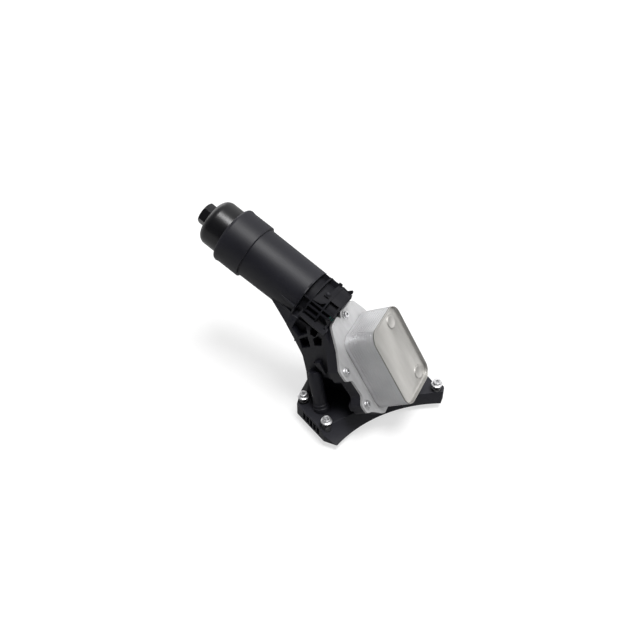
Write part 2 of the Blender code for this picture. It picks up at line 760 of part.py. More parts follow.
def fairing_mesh():
    """The web that carries the trunk's upper corner into the side of the tube."""
    skin, inside = TUBE_RADIUS_AT_RIDGE - 1.0 * MM, BOWL_BORE_RADIUS - REACH
    points = [bowl_point(skin, angle, FAIRING_LENGTH) for angle in FAIRING_TUBE_ANGLES]
    points += [bowl_point(inside, angle, 0.9 * FAIRING_LENGTH) for angle in FAIRING_TUBE_ANGLES[::2]]
    points += [bowl_point(RIDGE_RADIUS, angle, RIDGE_PLACE) for angle in FAIRING_RIM_ANGLES]
    points += [Vector(place) for place in FAIRING_ROOT]
    return hull_mesh(points)


def standing_plate(outline, thickness, angle):
    """A plate along the bowl, with its outline as reach beyond the ribs and distance along."""
    points = [(BARREL_RIB_RADIUS + reach, along) for reach, along in outline]
    frame = BOWL @ Matrix.Rotation(math.radians(angle), 4, "Z") @ Matrix.Rotation(math.pi / 2, 4, "X")
    return outline_mesh(points, -thickness / 2, thickness / 2), frame


def join_barrel_ribs(mesh):
    """Fins, shelf, shoulder, facet, plug, ear, nub and gusset of the ribbed barrel."""
    core = BARREL_CORE_RADIUS - 3 * MM
    for angle, low, high in BARREL_FINS:
        fin = fin_mesh(low, high, core, BARREL_RIB_RADIUS - 0.1 * MM, RIB_THICKNESS)
        mesh = joined(mesh, fin, BOWL @ Matrix.Rotation(math.radians(angle), 4, "Z"))
    shelf, frame = standing_plate(SHELF_OUTLINE, RIB_THICKNESS, 0.0)
    mesh = joined(mesh, shelf, Matrix.Translation(BOWL.col[1].xyz * (SHELF_HEIGHT - RIB_THICKNESS / 2)) @ frame)
    shoulder = [bowl_point(BARREL_RIB_RADIUS - 1.0 * MM, angle, height)
                for angle in SHOULDER_ANGLES for height in (SHOULDER_LOW, SHOULDER_HIGH)]
    shoulder += [bowl_point(core, angle, height)
                 for angle in (SHOULDER_ANGLES[0], SHOULDER_ANGLES[-1]) for height in (SHOULDER_LOW, SHOULDER_HIGH)]
    mesh = joined(mesh, hull_mesh(shoulder))
    facet = [bowl_point(radius, angle, height)
             for angle, height in FACET_POINTS for radius in (core, BARREL_RIB_RADIUS - 0.8 * MM)]
    mesh = joined(mesh, hull_mesh(facet))
    half = PLUG_SIZE / 2
    plug = box_mesh((core, -half, PLUG_PLACE - half), (BARREL_RIB_RADIUS + 1.5 * MM, half, PLUG_PLACE + half))
    mesh = joined(mesh, plug, BOWL @ Matrix.Rotation(math.radians(PLUG_ANGLE), 4, "Z"))
    for outline in (EAR_OUTLINE, NUB_OUTLINE):
        mesh = joined(mesh, *standing_plate(outline, EAR_WIDTH, EAR_ANGLE))
    low = TUBE_RADIUS_AT_RIDGE - 3.3 * MM
    gusset = hull_mesh([
        (x, y, z)
        for y in (-RIB_THICKNESS / 2, RIB_THICKNESS / 2)
        for x, z in ((low, RIDGE_PLACE), (RIDGE_RADIUS - 0.8 * MM, RIDGE_PLACE),
                     (TUBE_RADIUS_AT_RIDGE + 0.4 * MM, TUBE_GUSSET_LENGTH), (low, TUBE_GUSSET_LENGTH))
    ])
    return joined(mesh, gusset, BOWL @ Matrix.Rotation(math.radians(TUBE_GUSSET_ANGLE), 4, "Z"))


def housing_mesh():
    mesh = trunk_mesh()
    mesh = joined(mesh, fairing_mesh())
    mesh = joined(mesh, bowl_mesh(), BOWL)
    mesh = join_barrel_ribs(mesh)
    for pocket in NEAR_POCKETS:
        tool = outline_mesh(in_mm(pocket), -TRUNK_NEAR_Y - NEAR_POCKET_DEPTH, REACH)
        mesh = cut(mesh, tool, SIDE)
    wedge = outline_mesh(in_mm(WEDGE_FIN), -TRUNK_NEAR_Y - 2 * MM, 3 * MM)
    mesh = joined(mesh, wedge, SIDE)
    for x, z in TRUNK_TABS:
        low = Vector((x * MM, TRUNK_NEAR_Y + 0.5 * MM, z * MM))
        mesh = joined(mesh, box_mesh(low, low + Vector((2 * TAB_SIZE, TAB_SIZE, TAB_SIZE))))
    mesh = joined(mesh, outline_mesh(pad_outline(), PAD_FACE - PAD_THICKNESS, PAD_FACE + 3 * MM), PAD)
    for x, y in SCREW_PLACES:
        boss = cylinder_mesh(SCREW_BOSS_RADIUS, PAD_FACE - SCREW_BOSS_LENGTH, PAD_FACE - 1 * MM, (x, y), 14)
        mesh = joined(mesh, boss, PAD)
    mesh = joined(mesh, flange_mesh())
    mesh = joined(mesh, column_mesh(), frame_along(COLUMN_FOOT, COLUMN_HEAD))
    mesh = cut(mesh, bowl_bore_mesh(), BOWL)
    mesh = cut_pad(mesh)
    mesh = cut_oilways(mesh)
    mesh = cut_flange(mesh)
    return cleaned(mesh)


def pad_outline():
    return round_corners(in_mm(BASE_PLATE_OUTLINE))


def cut_pad(mesh):
    """Level the pad, then sink the gasket seat and the screw holes into it."""
    clear = box_mesh((-118 * MM, -100 * MM, PAD_FACE), (90 * MM, 100 * MM, 120 * MM))
    mesh = cut(mesh, clear, PAD)
    seat = gasket_mesh(SEAT, PAD_FACE - GASKET_THICKNESS - SEAT, PAD_FACE + REACH, open_ports=False)
    mesh = cut(mesh, seat, PAD)
    for x, y in SCREW_PLACES:
        depth = SCREW_LENGTH + 2 * MM
        hole = cylinder_mesh(SCREW_SHANK_RADIUS + SEAT, -depth, REACH, (x, y))
        mesh = cut(mesh, hole, PAD)
    return mesh


def passage(start, end, radius, before=0.0, after=0.0):
    """A drilled way from start to end, as a tool mesh and its frame."""
    length = (Vector(end) - Vector(start)).length
    return cylinder_mesh(radius, -before, length + after, segments=10), frame_along(start, end)


def cut_oilways(mesh):
    """Open the ways between engine face, bowl and cooler pad."""
    pad_points = [PAD @ Vector((x, y, PAD_FACE)) for x, y in COOLER_PORTS]
    inward = -Vector(PAD.col[2][:3])
    pipe_end = BOWL @ Vector((0.0, 0.0, STANDPIPE_FOOT + 4 * MM))
    gallery_start = BOWL @ Vector((0.0, 0.0, GALLERY_START))
    gallery_end = pad_points[0] + inward * GALLERY_DEPTH
    feed_foot = Vector((*FEED_PORT[:2], 0.0))
    column_head = Vector(COLUMN_HEAD) - Vector((0, 0, RISER_RADIUS))
    feed_turn, feed_end = Vector(FEED_TURN), BOWL @ Vector(FEED_INLET)
    overlap = 2 * MM
    ways = [
        passage(feed_foot, feed_foot + Vector((0, 0, COLUMN_FOOT[2])), RISER_RADIUS, REACH),
        passage(Vector(COLUMN_FOOT), column_head, RISER_RADIUS, overlap, overlap),
        passage(column_head, feed_turn, RISER_RADIUS - 0.5 * MM, 0.0, 3 * MM),
        passage(feed_turn, feed_end, RISER_RADIUS - 1 * MM),
        passage(pipe_end, gallery_start, STANDPIPE_RADIUS - STANDPIPE_WALL, 0.0, overlap),
        passage(gallery_start, gallery_end, GALLERY_RADIUS, overlap, overlap),
    ]
    for point, depth in zip(pad_points, COOLER_PORT_DEPTHS):
        ways.append(passage(point, point + inward * depth, COOLER_PORT_RADIUS, REACH))
    rises = ((OIL_RETURN_PORT, OIL_RETURN_RISE), (COOLANT_OUT_PORT, COOLANT_OUT_RISE), (COOLANT_IN_PORT, COOLANT_IN_RISE))
    for (x, y, radius), rise in rises:
        ways.append(passage((x, y, 0.0), (x, y, rise), radius, REACH))
    for tool, frame in ways:
        mesh = cut(mesh, tool, frame)
    return mesh


def engine_ports():
    return (FEED_PORT, OIL_RETURN_PORT, COOLANT_OUT_PORT, COOLANT_IN_PORT)


def cut_flange(mesh):
    """Sleeve holes, seal grooves and the row of pockets along the near edge."""
    x, y = BOLT_PLACES[0]
    spot = cylinder_mesh(BOLT_FLANGE_RADIUS + 1 * MM, FLANGE_THICKNESS, FLANGE_THICKNESS + 40 * MM, (x, y))
    mesh = cut(mesh, spot)
    for x, y in BOLT_PLACES:
        hole = cylinder_mesh(SLEEVE_RADIUS + SEAT, -REACH, FLANGE_THICKNESS + REACH, (x, y))
        mesh = cut(mesh, hole)
    for x, y, radius in engine_ports():
        inner = radius + PORT_SEAL_WALL - SEAT
        outer = radius + PORT_SEAL_WALL + PORT_SEAL_WIDTH + SEAT
        groove = ring_mesh(outer, inner, -REACH, PORT_SEAL_HEIGHT + 2 * SEAT)
        mesh = cut(mesh, groove, Matrix.Translation((x, y, 0.0)))
    start, end = Vector((*EDGE_ROW_START, 0)), Vector((*EDGE_ROW_END, 0))
    pitch = (end - start).length / EDGE_POCKETS
    direction, up = (end - start).normalized(), Vector((0, 0, 1))
    edge = frame_from(start, direction, up, direction.cross(up))
    for index in range(EDGE_POCKETS):
        low = (pitch * index + EDGE_RIB_THICKNESS / 2, EDGE_POCKET_BORDER, -EDGE_POCKET_DEPTH)
        high = (pitch * (index + 1) - EDGE_RIB_THICKNESS / 2, FLANGE_THICKNESS - EDGE_POCKET_BORDER, 2 * REACH)
        mesh = cut(mesh, box_mesh(low, high), edge)
    return mesh


# Cooler

def gasket_mesh(grow, low, high, open_ports=True):
    """Four port rings, joined by bars, with one tab that shows at the upper edge."""
    outer = COOLER_PORT_RADIUS + GASKET_LAND + SEAT + grow
    inner = COOLER_PORT_RADIUS + SEAT
    half_bar = GASKET_BAR_WIDTH / 2 + grow
    ports = [Vector(place) for place in COOLER_PORTS]
    mesh = cylinder_mesh(outer, low, high, ports[0], 14)
    for port in ports[1:]:
        mesh = joined(mesh, cylinder_mesh(outer, low, high, port, 14))
    for start, end in ((ports[0], ports[1]), (ports[2], ports[3])):
        length = (end - start).length
        frame = Matrix.Translation((start.x, start.y, 0)) @ Matrix.Rotation(
            math.atan2(end.y - start.y, end.x - start.x), 4, "Z")
        mesh = joined(mesh, box_mesh((0, -half_bar, low), (length, half_bar, high)), frame)
    mesh = joined(mesh, box_mesh((ports[3].x - half_bar, ports[0].y, low), (ports[3].x + half_bar, ports[3].y, high)))
    tab_low = (GASKET_TAB_END - grow, GASKET_TAB_Y - 2 * half_bar, low)
    mesh = joined(mesh, box_mesh(tab_low, (ports[0].x, GASKET_TAB_Y + half_bar, high)))
    if open_ports:
        for port in ports:
            mesh = cut(mesh, cylinder_mesh(inner, low - REACH, high + REACH, port, 14))
    return cleaned(mesh)


def base_plate_mesh():
    mesh = outline_mesh(pad_outline(), -BASE_PLATE_THICKNESS, 0.0)
    for x, y in SCREW_PLACES:
        mesh = cut(mesh, cylinder_mesh(SCREW_SHANK_RADIUS + SEAT, -10 * MM, REACH, (x, y)))
    for place in COOLER_PORTS:
        mesh = cut(mesh, cylinder_mesh(COOLER_PORT_RADIUS, -10 * MM, REACH, place))
    return cleaned(mesh)


def stack_outline(grow, height, corner_steps=3):
    """The stack's rounded rectangle, grown evenly, as points at a height."""
    half_length = STACK_LENGTH / 2 - PLATE_RIM_FLARE * PLATE_RIM_HEIGHT + grow
    half_width = STACK_WIDTH / 2 - PLATE_RIM_FLARE * PLATE_RIM_HEIGHT + grow
    radius = STACK_CORNER_RADIUS - PLATE_RIM_FLARE * PLATE_RIM_HEIGHT + grow
    points = []
    for corner in range(4):
        side_x = 1 if corner in (0, 3) else -1
        side_y = 1 if corner in (0, 1) else -1
        for step in range(corner_steps + 1):
            angle = math.pi / 2 * (corner + step / corner_steps)
            x = side_x * (half_length - radius) + radius * math.cos(angle)
            y = side_y * (half_width - radius) + radius * math.sin(angle)
            points.append((x, y, height))
    return points


def tray_mesh(gauge, rim_height):
    """A dished plate: a flat floor with a rim that flares outwards."""
    wall = gauge * math.sqrt(1 + PLATE_RIM_FLARE ** 2)
    top = PLATE_RIM_FLARE * rim_height
    return loft_mesh([
        stack_outline(0.0, 0.0),
        stack_outline(top, rim_height),
        stack_outline(top - wall, rim_height),
        stack_outline(PLATE_RIM_FLARE * gauge - wall, gauge),
    ])


def plate_mesh():
    mesh = tray_mesh(PLATE_GAUGE, PLATE_RIM_HEIGHT)
    to_stack = STACK.inverted() @ PAD
    for x, y in COOLER_PORTS:
        place = to_stack @ Vector((x, y, 0.0))
        mesh = cut(mesh, cylinder_mesh(COOLER_PORT_RADIUS, -REACH, REACH, place.xy, 6))
    return cleaned(mesh)


def cover_mesh():
    """The front tray, with a round embossing at two of its corners."""
    mesh = tray_mesh(COVER_GAUGE, COVER_RIM_HEIGHT)
    for place in EMBOSSING_PLACES:
        top = COVER_GAUGE + EMBOSSING_HEIGHT
        tool = cylinder_mesh(EMBOSSING_RADIUS, COVER_GAUGE / 2, top, place, 16, EMBOSSING_RADIUS - EMBOSSING_HEIGHT)
        mesh = joined(mesh, tool)
    return cleaned(mesh)


# Fasteners

def screw_mesh(shank, length, flange, head, height, recess):
    """A flanged round head with a star recess; the seat of the head is at height 0."""
    flange_height = 0.25 * height
    profile = [
        (0.0, height),
        (head - 1.2 * MM, height),
        (head, height - 1.2 * MM),
        (head, flange_height + 0.4 * MM),
        (flange, flange_height),
        (flange, 0.0),
        (shank, 0.0),
        (shank, 1.5 * MM - length),
        (shank - 1.0 * MM, -length),
        (0.0, -length),
    ]
    mesh = turned_mesh(profile, SMALL_SEGMENTS)
    return cleaned(cut(mesh, six_lobe_mesh(recess, 0.4 * height, height + REACH)))


# Cap, filter and valve

def cap_mesh():
    wall = CAP_WALL
    thread = THREAD_BORE_RADIUS - SEAT
    skirt = SEAL_BORE_RADIUS - SEAT
    groove = skirt - 2 * O_RING_RADIUS - SEAT
    groove_high = CAP_GROOVE_LOW + 2 * O_RING_RADIUS + 2 * SEAT
    shoulder = CAP_DOME_TOP - CAP_DOME_ROUND
    dome_centre = (CAP_DOME_RADIUS - CAP_DOME_ROUND, shoulder)
    profile = [(0.0, CAP_DOME_TOP)]
    profile += reversed(arc(dome_centre, CAP_DOME_ROUND, 0, 90, 4))
    profile += [
        (CAP_DOME_RADIUS, CAP_FLANGE_TOP),
        (thread, CAP_FLANGE_TOP),
        (thread, CAP_THREAD_LOW),
        (skirt, CAP_THREAD_LOW),
        (skirt, groove_high),
        (groove, groove_high),
        (groove, CAP_GROOVE_LOW),
        (skirt, CAP_GROOVE_LOW),
        (skirt, CAP_SKIRT_LOW),
        (skirt - CAP_SKIRT_WALL, CAP_SKIRT_LOW),
        (skirt - CAP_SKIRT_WALL, CAP_THREAD_LOW),
        (CAP_DOME_RADIUS - wall, CAP_FLANGE_TOP),
    ]
    profile += arc(dome_centre, CAP_DOME_ROUND - wall, 0, 90, 2)
    socket_low = CAP_DOME_TOP - wall - VALVE_SOCKET_DEPTH
    profile += [
        (VALVE_RADIUS + SEAT + 2 * MM, CAP_DOME_TOP - wall),
        (VALVE_RADIUS + SEAT + 2 * MM, socket_low),
        (VALVE_RADIUS + SEAT, socket_low),
        (VALVE_RADIUS + SEAT, CAP_DOME_TOP - wall),
        (0.0, CAP_DOME_TOP - wall),
    ]
    mesh = turned_mesh(profile)
    hex_radius = CAP_HEX_ACROSS_FLATS / math.sqrt(3)
    chamfer = 1.2 * MM
    head = cylinder_mesh(hex_radius, CAP_DOME_TOP - 1 * MM, CAP_DOME_TOP + CAP_HEX_HEIGHT, segments=6)
    keep = turned_mesh([
        (0.0, CAP_DOME_TOP + CAP_HEX_HEIGHT),
        (hex_radius - 2 * chamfer, CAP_DOME_TOP + CAP_HEX_HEIGHT),
        (hex_radius + chamfer, CAP_DOME_TOP + CAP_HEX_HEIGHT - 2 * chamfer),
        (hex_radius + chamfer, CAP_DOME_TOP - REACH),
        (0.0, CAP_DOME_TOP - REACH),
    ], 18)
    head = combined(head, keep, "INTERSECT")
    return cleaned(joined(mesh, head))


def pleated_mesh(low, high):
    """A star-folded paper band, drawn as an outer and an inner zigzag."""
    rings = []
    for shift, height in ((0.0, low), (0.0, high), (PLEAT_PAPER, high), (PLEAT_PAPER, low)):
        ring = []
        for fold in range(2 * PLEATS):
            angle = math.pi * fold / PLEATS
            radius = MEDIA_RADIUS - shift if fold % 2 == 0 else MEDIA_ROOT_RADIUS + PLEAT_PAPER - shift
            ring.append((radius * math.cos(angle), radius * math.sin(angle), height))
        rings.append(ring)

    def build(shape):
        rows = [[shape.verts.new(point) for point in ring] for ring in rings]
        for row, next_row in zip(rows, rows[1:] + rows[:1]):
            for index in range(2 * PLEATS):
                after = (index + 1) % (2 * PLEATS)
                shape.faces.new((row[index], row[after], next_row[after], next_row[index]))

    return mesh_from(build)


def spring_mesh(low, high):
    """A wire coil between two heights, closed at its ends."""
    curve = bpy.data.curves.new("coil", "CURVE")
    curve.dimensions = "3D"
    curve.bevel_depth = SPRING_WIRE / 2
    curve.bevel_resolution = 0
    curve.use_fill_caps = True
    spline = curve.splines.new("POLY")
    steps = 7 * SPRING_TURNS
    spline.points.add(steps)
    for step, point in enumerate(spline.points):
        angle = 2 * math.pi * SPRING_TURNS * step / steps
        height = low + SPRING_WIRE + (high - low - 2 * SPRING_WIRE) * step / steps
        point.co = (SPRING_RADIUS * math.cos(angle), SPRING_RADIUS * math.sin(angle), height, 1.0)
    holder = make_tool(curve, WORLD)
    mesh = evaluated_mesh(holder)
    bpy.data.objects.remove(holder, do_unlink=True)
    shape = bmesh.new()
    shape.from_mesh(mesh)
    bmesh.ops.remove_doubles(shape, verts=shape.verts, dist=1e-6)
    bmesh.ops.recalc_face_normals(shape, faces=shape.faces)
    shape.to_mesh(mesh)
    shape.free()
    return mesh


def valve_body_mesh(low, high):
    """A cup that hangs in the cap, with the valve seat in its floor."""
    floor = low + 2 * MM
    return turned_mesh([
        (VALVE_RADIUS, high),
        (VALVE_RADIUS, low),
        (VALVE_SEAT_RADIUS, low),
        (VALVE_SEAT_RADIUS, floor),
        (VALVE_RADIUS - VALVE_WALL, floor),
        (VALVE_RADIUS - VALVE_WALL, high),
    ], 20)


def poppet_mesh(low):
    disc = low + POPPET_THICKNESS
    return turned_mesh([
        (0.0, disc + POPPET_STEM_LENGTH),
        (POPPET_STEM_RADIUS, disc + POPPET_STEM_LENGTH),
        (POPPET_STEM_RADIUS, disc),
        (POPPET_RADIUS, disc),
        (POPPET_RADIUS, low),
        (0.0, low),
    ], SMALL_SEGMENTS)


def build_filter(paper, plastic):
    seat_low = BOWL_FLOOR + SEAT
    media_low = seat_low + END_CAP_THICKNESS + SEAT
    media_high = media_low + MEDIA_LENGTH
    cap_low = media_high + SEAT
    edge = MEDIA_RADIUS + 0.3 * MM
    hole = STANDPIPE_RADIUS + SEAT
    make_part("filter_lower_end_cap", ring_mesh(edge, hole, seat_low, seat_low + END_CAP_THICKNESS, 24), plastic, BOWL)
    make_part("filter_upper_end_cap", ring_mesh(edge, hole, cap_low, cap_low + END_CAP_THICKNESS, 24), plastic, BOWL)
    make_part("filter_media", pleated_mesh(media_low, media_high), paper, BOWL, 10.0)
    make_part("filter_cage", ring_mesh(CAGE_RADIUS, CAGE_RADIUS - CAGE_WALL, media_low, media_high, 20), plastic, BOWL)
    pipe = ring_mesh(STANDPIPE_RADIUS, STANDPIPE_RADIUS - STANDPIPE_WALL, STANDPIPE_FOOT, STANDPIPE_TOP)
    make_part("standpipe", pipe, plastic, BOWL)


def build_valve(plastic, steel):
    high = CAP_DOME_TOP - CAP_WALL - SEAT
    low = high - VALVE_LENGTH
    poppet_low = low + 2 * MM + SEAT
    disc = poppet_low + POPPET_THICKNESS
    make_part("bypass_valve_body", valve_body_mesh(low, high), plastic, BOWL)
    make_part("bypass_valve_poppet", poppet_mesh(poppet_low), plastic, BOWL)
    make_part("bypass_valve_spring", spring_mesh(disc + SEAT, high - SEAT), steel, BOWL)


def build_cooler(aluminium, green, steel):
    make_part("cooler_gasket", gasket_mesh(0.0, PAD_FACE - GASKET_THICKNESS, PAD_FACE), green, PAD)
    make_part("cooler_base_plate", base_plate_mesh(), aluminium, PAD)
    plate = plate_mesh()
    for index in range(PLATE_COUNT):
        frame = STACK @ Matrix.Translation((0, 0, SEAT + index * PLATE_PITCH))
        make_part(f"cooler_plate_{index + 1:02d}", plate.copy(), aluminium, frame)
    frame = STACK @ Matrix.Translation((0, 0, SEAT + PLATE_COUNT * PLATE_PITCH))
    make_part("cooler_cover_plate", cover_mesh(), aluminium, frame)
    screw = screw_mesh(SCREW_SHANK_RADIUS, SCREW_LENGTH, SCREW_FLANGE_RADIUS, SCREW_HEAD_RADIUS,
                       SCREW_HEAD_HEIGHT, SCREW_RECESS_RADIUS)
    for index, (x, y) in enumerate(SCREW_PLACES):
        frame = PAD @ Matrix.Translation((x, y, SEAT))
        make_part(f"cooler_screw_{index + 1}", screw.copy(), steel, frame)


def build_mounting(steel, green):
    head_low = FLANGE_THICKNESS + SLEEVE_STANDS_PROUD + BOLT_STANDS_PROUD
    bolt = screw_mesh(BOLT_SHANK_RADIUS, BOLT_LENGTH, BOLT_FLANGE_RADIUS, BOLT_HEAD_RADIUS,
                      BOLT_HEAD_HEIGHT, BOLT_RECESS_RADIUS)
    sleeve = ring_mesh(SLEEVE_RADIUS, BOLT_SHANK_RADIUS + SEAT, 0.0, FLANGE_THICKNESS + SLEEVE_STANDS_PROUD)
    for index, (x, y) in enumerate(BOLT_PLACES):
        make_part(f"mounting_bolt_{index + 1}", bolt.copy(), steel, Matrix.Translation((x, y, head_low)))
        make_part(f"bolt_sleeve_{index + 1}", sleeve.copy(), steel, Matrix.Translation((x, y, 0.0)))
    names = ("oil_feed_seal", "oil_return_seal", "coolant_out_seal", "coolant_in_seal")
    for name, (x, y, radius) in zip(names, engine_ports()):
        inner = radius + PORT_SEAL_WALL
        seal = ring_mesh(inner + PORT_SEAL_WIDTH, inner, SEAT, SEAT + PORT_SEAL_HEIGHT)
        make_part(name, seal, green, Matrix.Translation((x, y, 0.0)))


clear_scene()
PARTS = new_collection("engine_oil_cooler")
TOOLS = new_collection("cutters")

BLACK_PLASTIC = new_material("black_plastic", (0.018, 0.018, 0.02), 0.38, 0.0)
GLOSS_PLASTIC = new_material("gloss_plastic", (0.014, 0.014, 0.015), 0.2, 0.0)
INNER_PLASTIC = new_material("inner_plastic", (0.1, 0.1, 0.11), 0.5, 0.0)
ALUMINIUM = new_material("aluminium", (0.62, 0.62, 0.61), 0.42, 1.0)
STEEL = new_material("zinc_steel", (0.66, 0.66, 0.67), 0.3, 1.0)
GREEN_RUBBER = new_material("green_rubber", (0.0, 0.16, 0.11), 0.6, 0.0)
BLACK_RUBBER = new_material("black_rubber", (0.02, 0.02, 0.02), 0.7, 0.0)
FILTER_PAPER = new_material("filter_paper", (0.7, 0.6, 0.4), 0.9, 0.0)

make_part("filter_housing", housing_mesh(), BLACK_PLASTIC)
make_part("filter_cap", cap_mesh(), GLOSS_PLASTIC, BOWL)
O_RING_CENTRE = SEAL_BORE_RADIUS - SEAT - O_RING_RADIUS
O_RING_HEIGHT = CAP_GROOVE_LOW + SEAT + O_RING_RADIUS
O_RING_END = 90 - 360 * (O_RING_SIDES - 1) / O_RING_SIDES
O_RING_PROFILE = arc((O_RING_CENTRE, O_RING_HEIGHT), O_RING_RADIUS, 90, O_RING_END, O_RING_SIDES - 1)
make_part("cap_o_ring", turned_mesh(O_RING_PROFILE), BLACK_RUBBER, BOWL)
build_filter(FILTER_PAPER, INNER_PLASTIC)
build_valve(INNER_PLASTIC, STEEL)
build_cooler(ALUMINIUM, GREEN_RUBBER, STEEL)
build_mounting(STEEL, GREEN_RUBBER)
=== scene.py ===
"""Looks of the engine oil cooler: finishes, light and camera, with the visible pieces in finer form."""
import json
import math

import bmesh
import bpy
from mathutils import Matrix, Vector

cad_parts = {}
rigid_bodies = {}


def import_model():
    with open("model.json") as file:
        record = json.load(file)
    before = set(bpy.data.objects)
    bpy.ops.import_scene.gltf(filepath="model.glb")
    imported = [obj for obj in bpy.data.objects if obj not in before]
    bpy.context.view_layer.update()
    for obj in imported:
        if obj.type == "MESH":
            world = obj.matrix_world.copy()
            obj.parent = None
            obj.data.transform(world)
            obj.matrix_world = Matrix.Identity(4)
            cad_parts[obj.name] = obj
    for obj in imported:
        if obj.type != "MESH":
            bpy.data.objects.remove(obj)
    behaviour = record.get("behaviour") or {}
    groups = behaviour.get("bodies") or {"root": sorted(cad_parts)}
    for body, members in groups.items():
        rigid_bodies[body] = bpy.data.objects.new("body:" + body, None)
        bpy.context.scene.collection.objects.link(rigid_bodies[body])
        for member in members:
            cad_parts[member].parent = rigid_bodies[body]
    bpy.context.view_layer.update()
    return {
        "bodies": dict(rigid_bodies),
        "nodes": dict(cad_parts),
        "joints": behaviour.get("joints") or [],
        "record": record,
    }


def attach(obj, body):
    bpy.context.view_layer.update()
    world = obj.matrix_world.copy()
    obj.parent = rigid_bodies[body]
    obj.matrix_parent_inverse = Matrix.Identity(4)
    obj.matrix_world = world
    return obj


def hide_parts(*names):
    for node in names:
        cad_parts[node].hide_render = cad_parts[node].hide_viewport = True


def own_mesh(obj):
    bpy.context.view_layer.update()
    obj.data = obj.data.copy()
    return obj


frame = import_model()
SCENE = bpy.context.scene

MM = 0.001


def in_mm(points):
    return [tuple(value * MM for value in point) for point in points]


# Clearance between pieces that touch, and how far tools reach past a face
SEAT = 0.3 * MM
REACH = 5.0 * MM

# Mounting flange
FLANGE_THICKNESS = 22.0 * MM
FLANGE_EAR_RADIUS = 12.0 * MM
FRONT_ARC_CENTRE, FRONT_ARC_TOP_CENTRE = in_mm(((264.1, -116.0), (371.3, -265.1)))
FRONT_ARC_RADIUS = 220.7 * MM
FRONT_ARC_TOP_RADIUS = 407.9 * MM
TOE_CORNER, TOE_NOSE, FLANGE_FRONT_CORNER = in_mm(((29.0, -56.5), (51.0, -57.0), (160.0, 40.0)))
FLANGE_LEFT_X = -37.0 * MM
# Row of pockets along the near edge
EDGE_ROW_START, EDGE_ROW_END = in_mm(((-16.5, -25.0, 0.0), (20.0, -50.5, 0.0)))
EDGE_POCKETS = 5
EDGE_POCKET_DEPTH = 3.0 * MM
EDGE_POCKET_BORDER = 3.0 * MM
EDGE_RIB_THICKNESS = 2.4 * MM

# Captive mounting bolts, by their place on the flange
BOLT_PLACES = in_mm(((-25.0, -9.0), (28.0, -42.5), (164.5, 95.0), (70.0, 150.0), (-23.0, 118.0)))
BOLT_SHANK_RADIUS = 4.0 * MM
BOLT_LENGTH = 45.0 * MM
BOLT_FLANGE_RADIUS = 9.0 * MM
BOLT_HEAD_RADIUS = 6.4 * MM
BOLT_HEAD_HEIGHT = 7.0 * MM
BOLT_RECESS_RADIUS = 3.8 * MM
BOLT_STANDS_PROUD = 8.0 * MM
BOLT_THREAD_LENGTH = 18.0 * MM
BOLT_TURN = 0.9
THREAD_PITCH = 1.25 * MM
THREAD_DEPTH = 0.55 * MM
SLEEVE_RADIUS = 7.2 * MM
SLEEVE_STANDS_PROUD = 3.5 * MM
SLEEVE_GAP = 0.1 * MM

# Ports in the engine face (X, Y, bore radius): oil feed, oil return, coolant out, coolant in
ENGINE_PORTS = in_mm(((11.0, -14.0, 6.0), (61.0, 47.9, 8.0), (61.0, 77.9, 8.0), (10.0, 73.9, 8.0)))
PORT_SEAL_WIDTH = 3.0 * MM
PORT_SEAL_HEIGHT = 2.4 * MM
PORT_SEAL_WALL = 2.0 * MM

# Filter bowl: the ridge is where the smooth tube meets the ribbed barrel
RIDGE_CENTRE = (-44.5 * MM, 57.0 * MM, 195.0 * MM)
BOWL_RISE = math.radians(20.0)
BOWL_TURN = math.radians(168.0)
COLLAR_LOW = 102.0 * MM
COLLAR_TOP = 150.0 * MM
COLLAR_RADIUS = 46.0 * MM
COLLAR_ROUND = 6.0 * MM
COLLAR_WALL = 5.2 * MM
BORE_STEP = 1.4 * MM
THREAD_BORE_RADIUS = COLLAR_RADIUS - COLLAR_WALL
THREAD_BORE_LOW = 129.0 * MM
SEAL_BORE_RADIUS = THREAD_BORE_RADIUS - BORE_STEP
SEAL_BORE_LOW = 108.0 * MM
BOWL_BORE_RADIUS = SEAL_BORE_RADIUS - BORE_STEP
BOWL_FLOOR = 3.0 * MM
TUBE_WALL = 3.3 * MM
TUBE_TAPER = 1.2 * MM
TUBE_RADIUS_AT_RIDGE = BOWL_BORE_RADIUS + TUBE_WALL
TUBE_RADIUS_AT_COLLAR = TUBE_RADIUS_AT_RIDGE + TUBE_TAPER
RIDGE_PLACE = -4.0 * MM
RIDGE_HEIGHT = 4.2 * MM
RIDGE_RADIUS = TUBE_RADIUS_AT_RIDGE + RIDGE_HEIGHT
RIDGE_THICKNESS = 2.6 * MM
RIDGE_FADE = 4.0 * MM
RIDGE_FADE_ANGLE = -20.0

# Ribbed barrel behind the ridge
BARREL_LENGTH = 60.0 * MM
BARREL_RIB_RADIUS = TUBE_RADIUS_AT_RIDGE
BARREL_RIB_DEPTH = 8.3 * MM
BARREL_CORE_RADIUS = BARREL_RIB_RADIUS - BARREL_RIB_DEPTH
RIB_THICKNESS = 2.4 * MM
BARREL_RINGS = (-18.0 * MM, -40.5 * MM)
# Lengthways fins: angle in degrees, low end and high end in mm
BARREL_FINS = (
    (20.0, -41.0, -18.0), (35.0, -59.0, -16.0), (46.0, -59.0, -5.0),
    (128.0, -59.0, -5.0), (152.0, -59.0, -18.0), (180.0, -59.0, -18.0),
)
SHELF_HEIGHT = 7.9 * MM
# Shelf along the near side: reach beyond the ribs, distance along the bowl
SHELF_OUTLINE = in_mm(((-6.0, -64.0), (7.5, -64.0), (7.6, -44.0), (5.8, -22.0), (4.2, -14.0), (-6.0, -14.0)))
SHOULDER_ANGLES = (70.0, 82.0, 94.0, 106.0, 118.0, 129.0)
SHOULDER_LOW = -61.5 * MM
SHOULDER_HIGH = -34.0 * MM
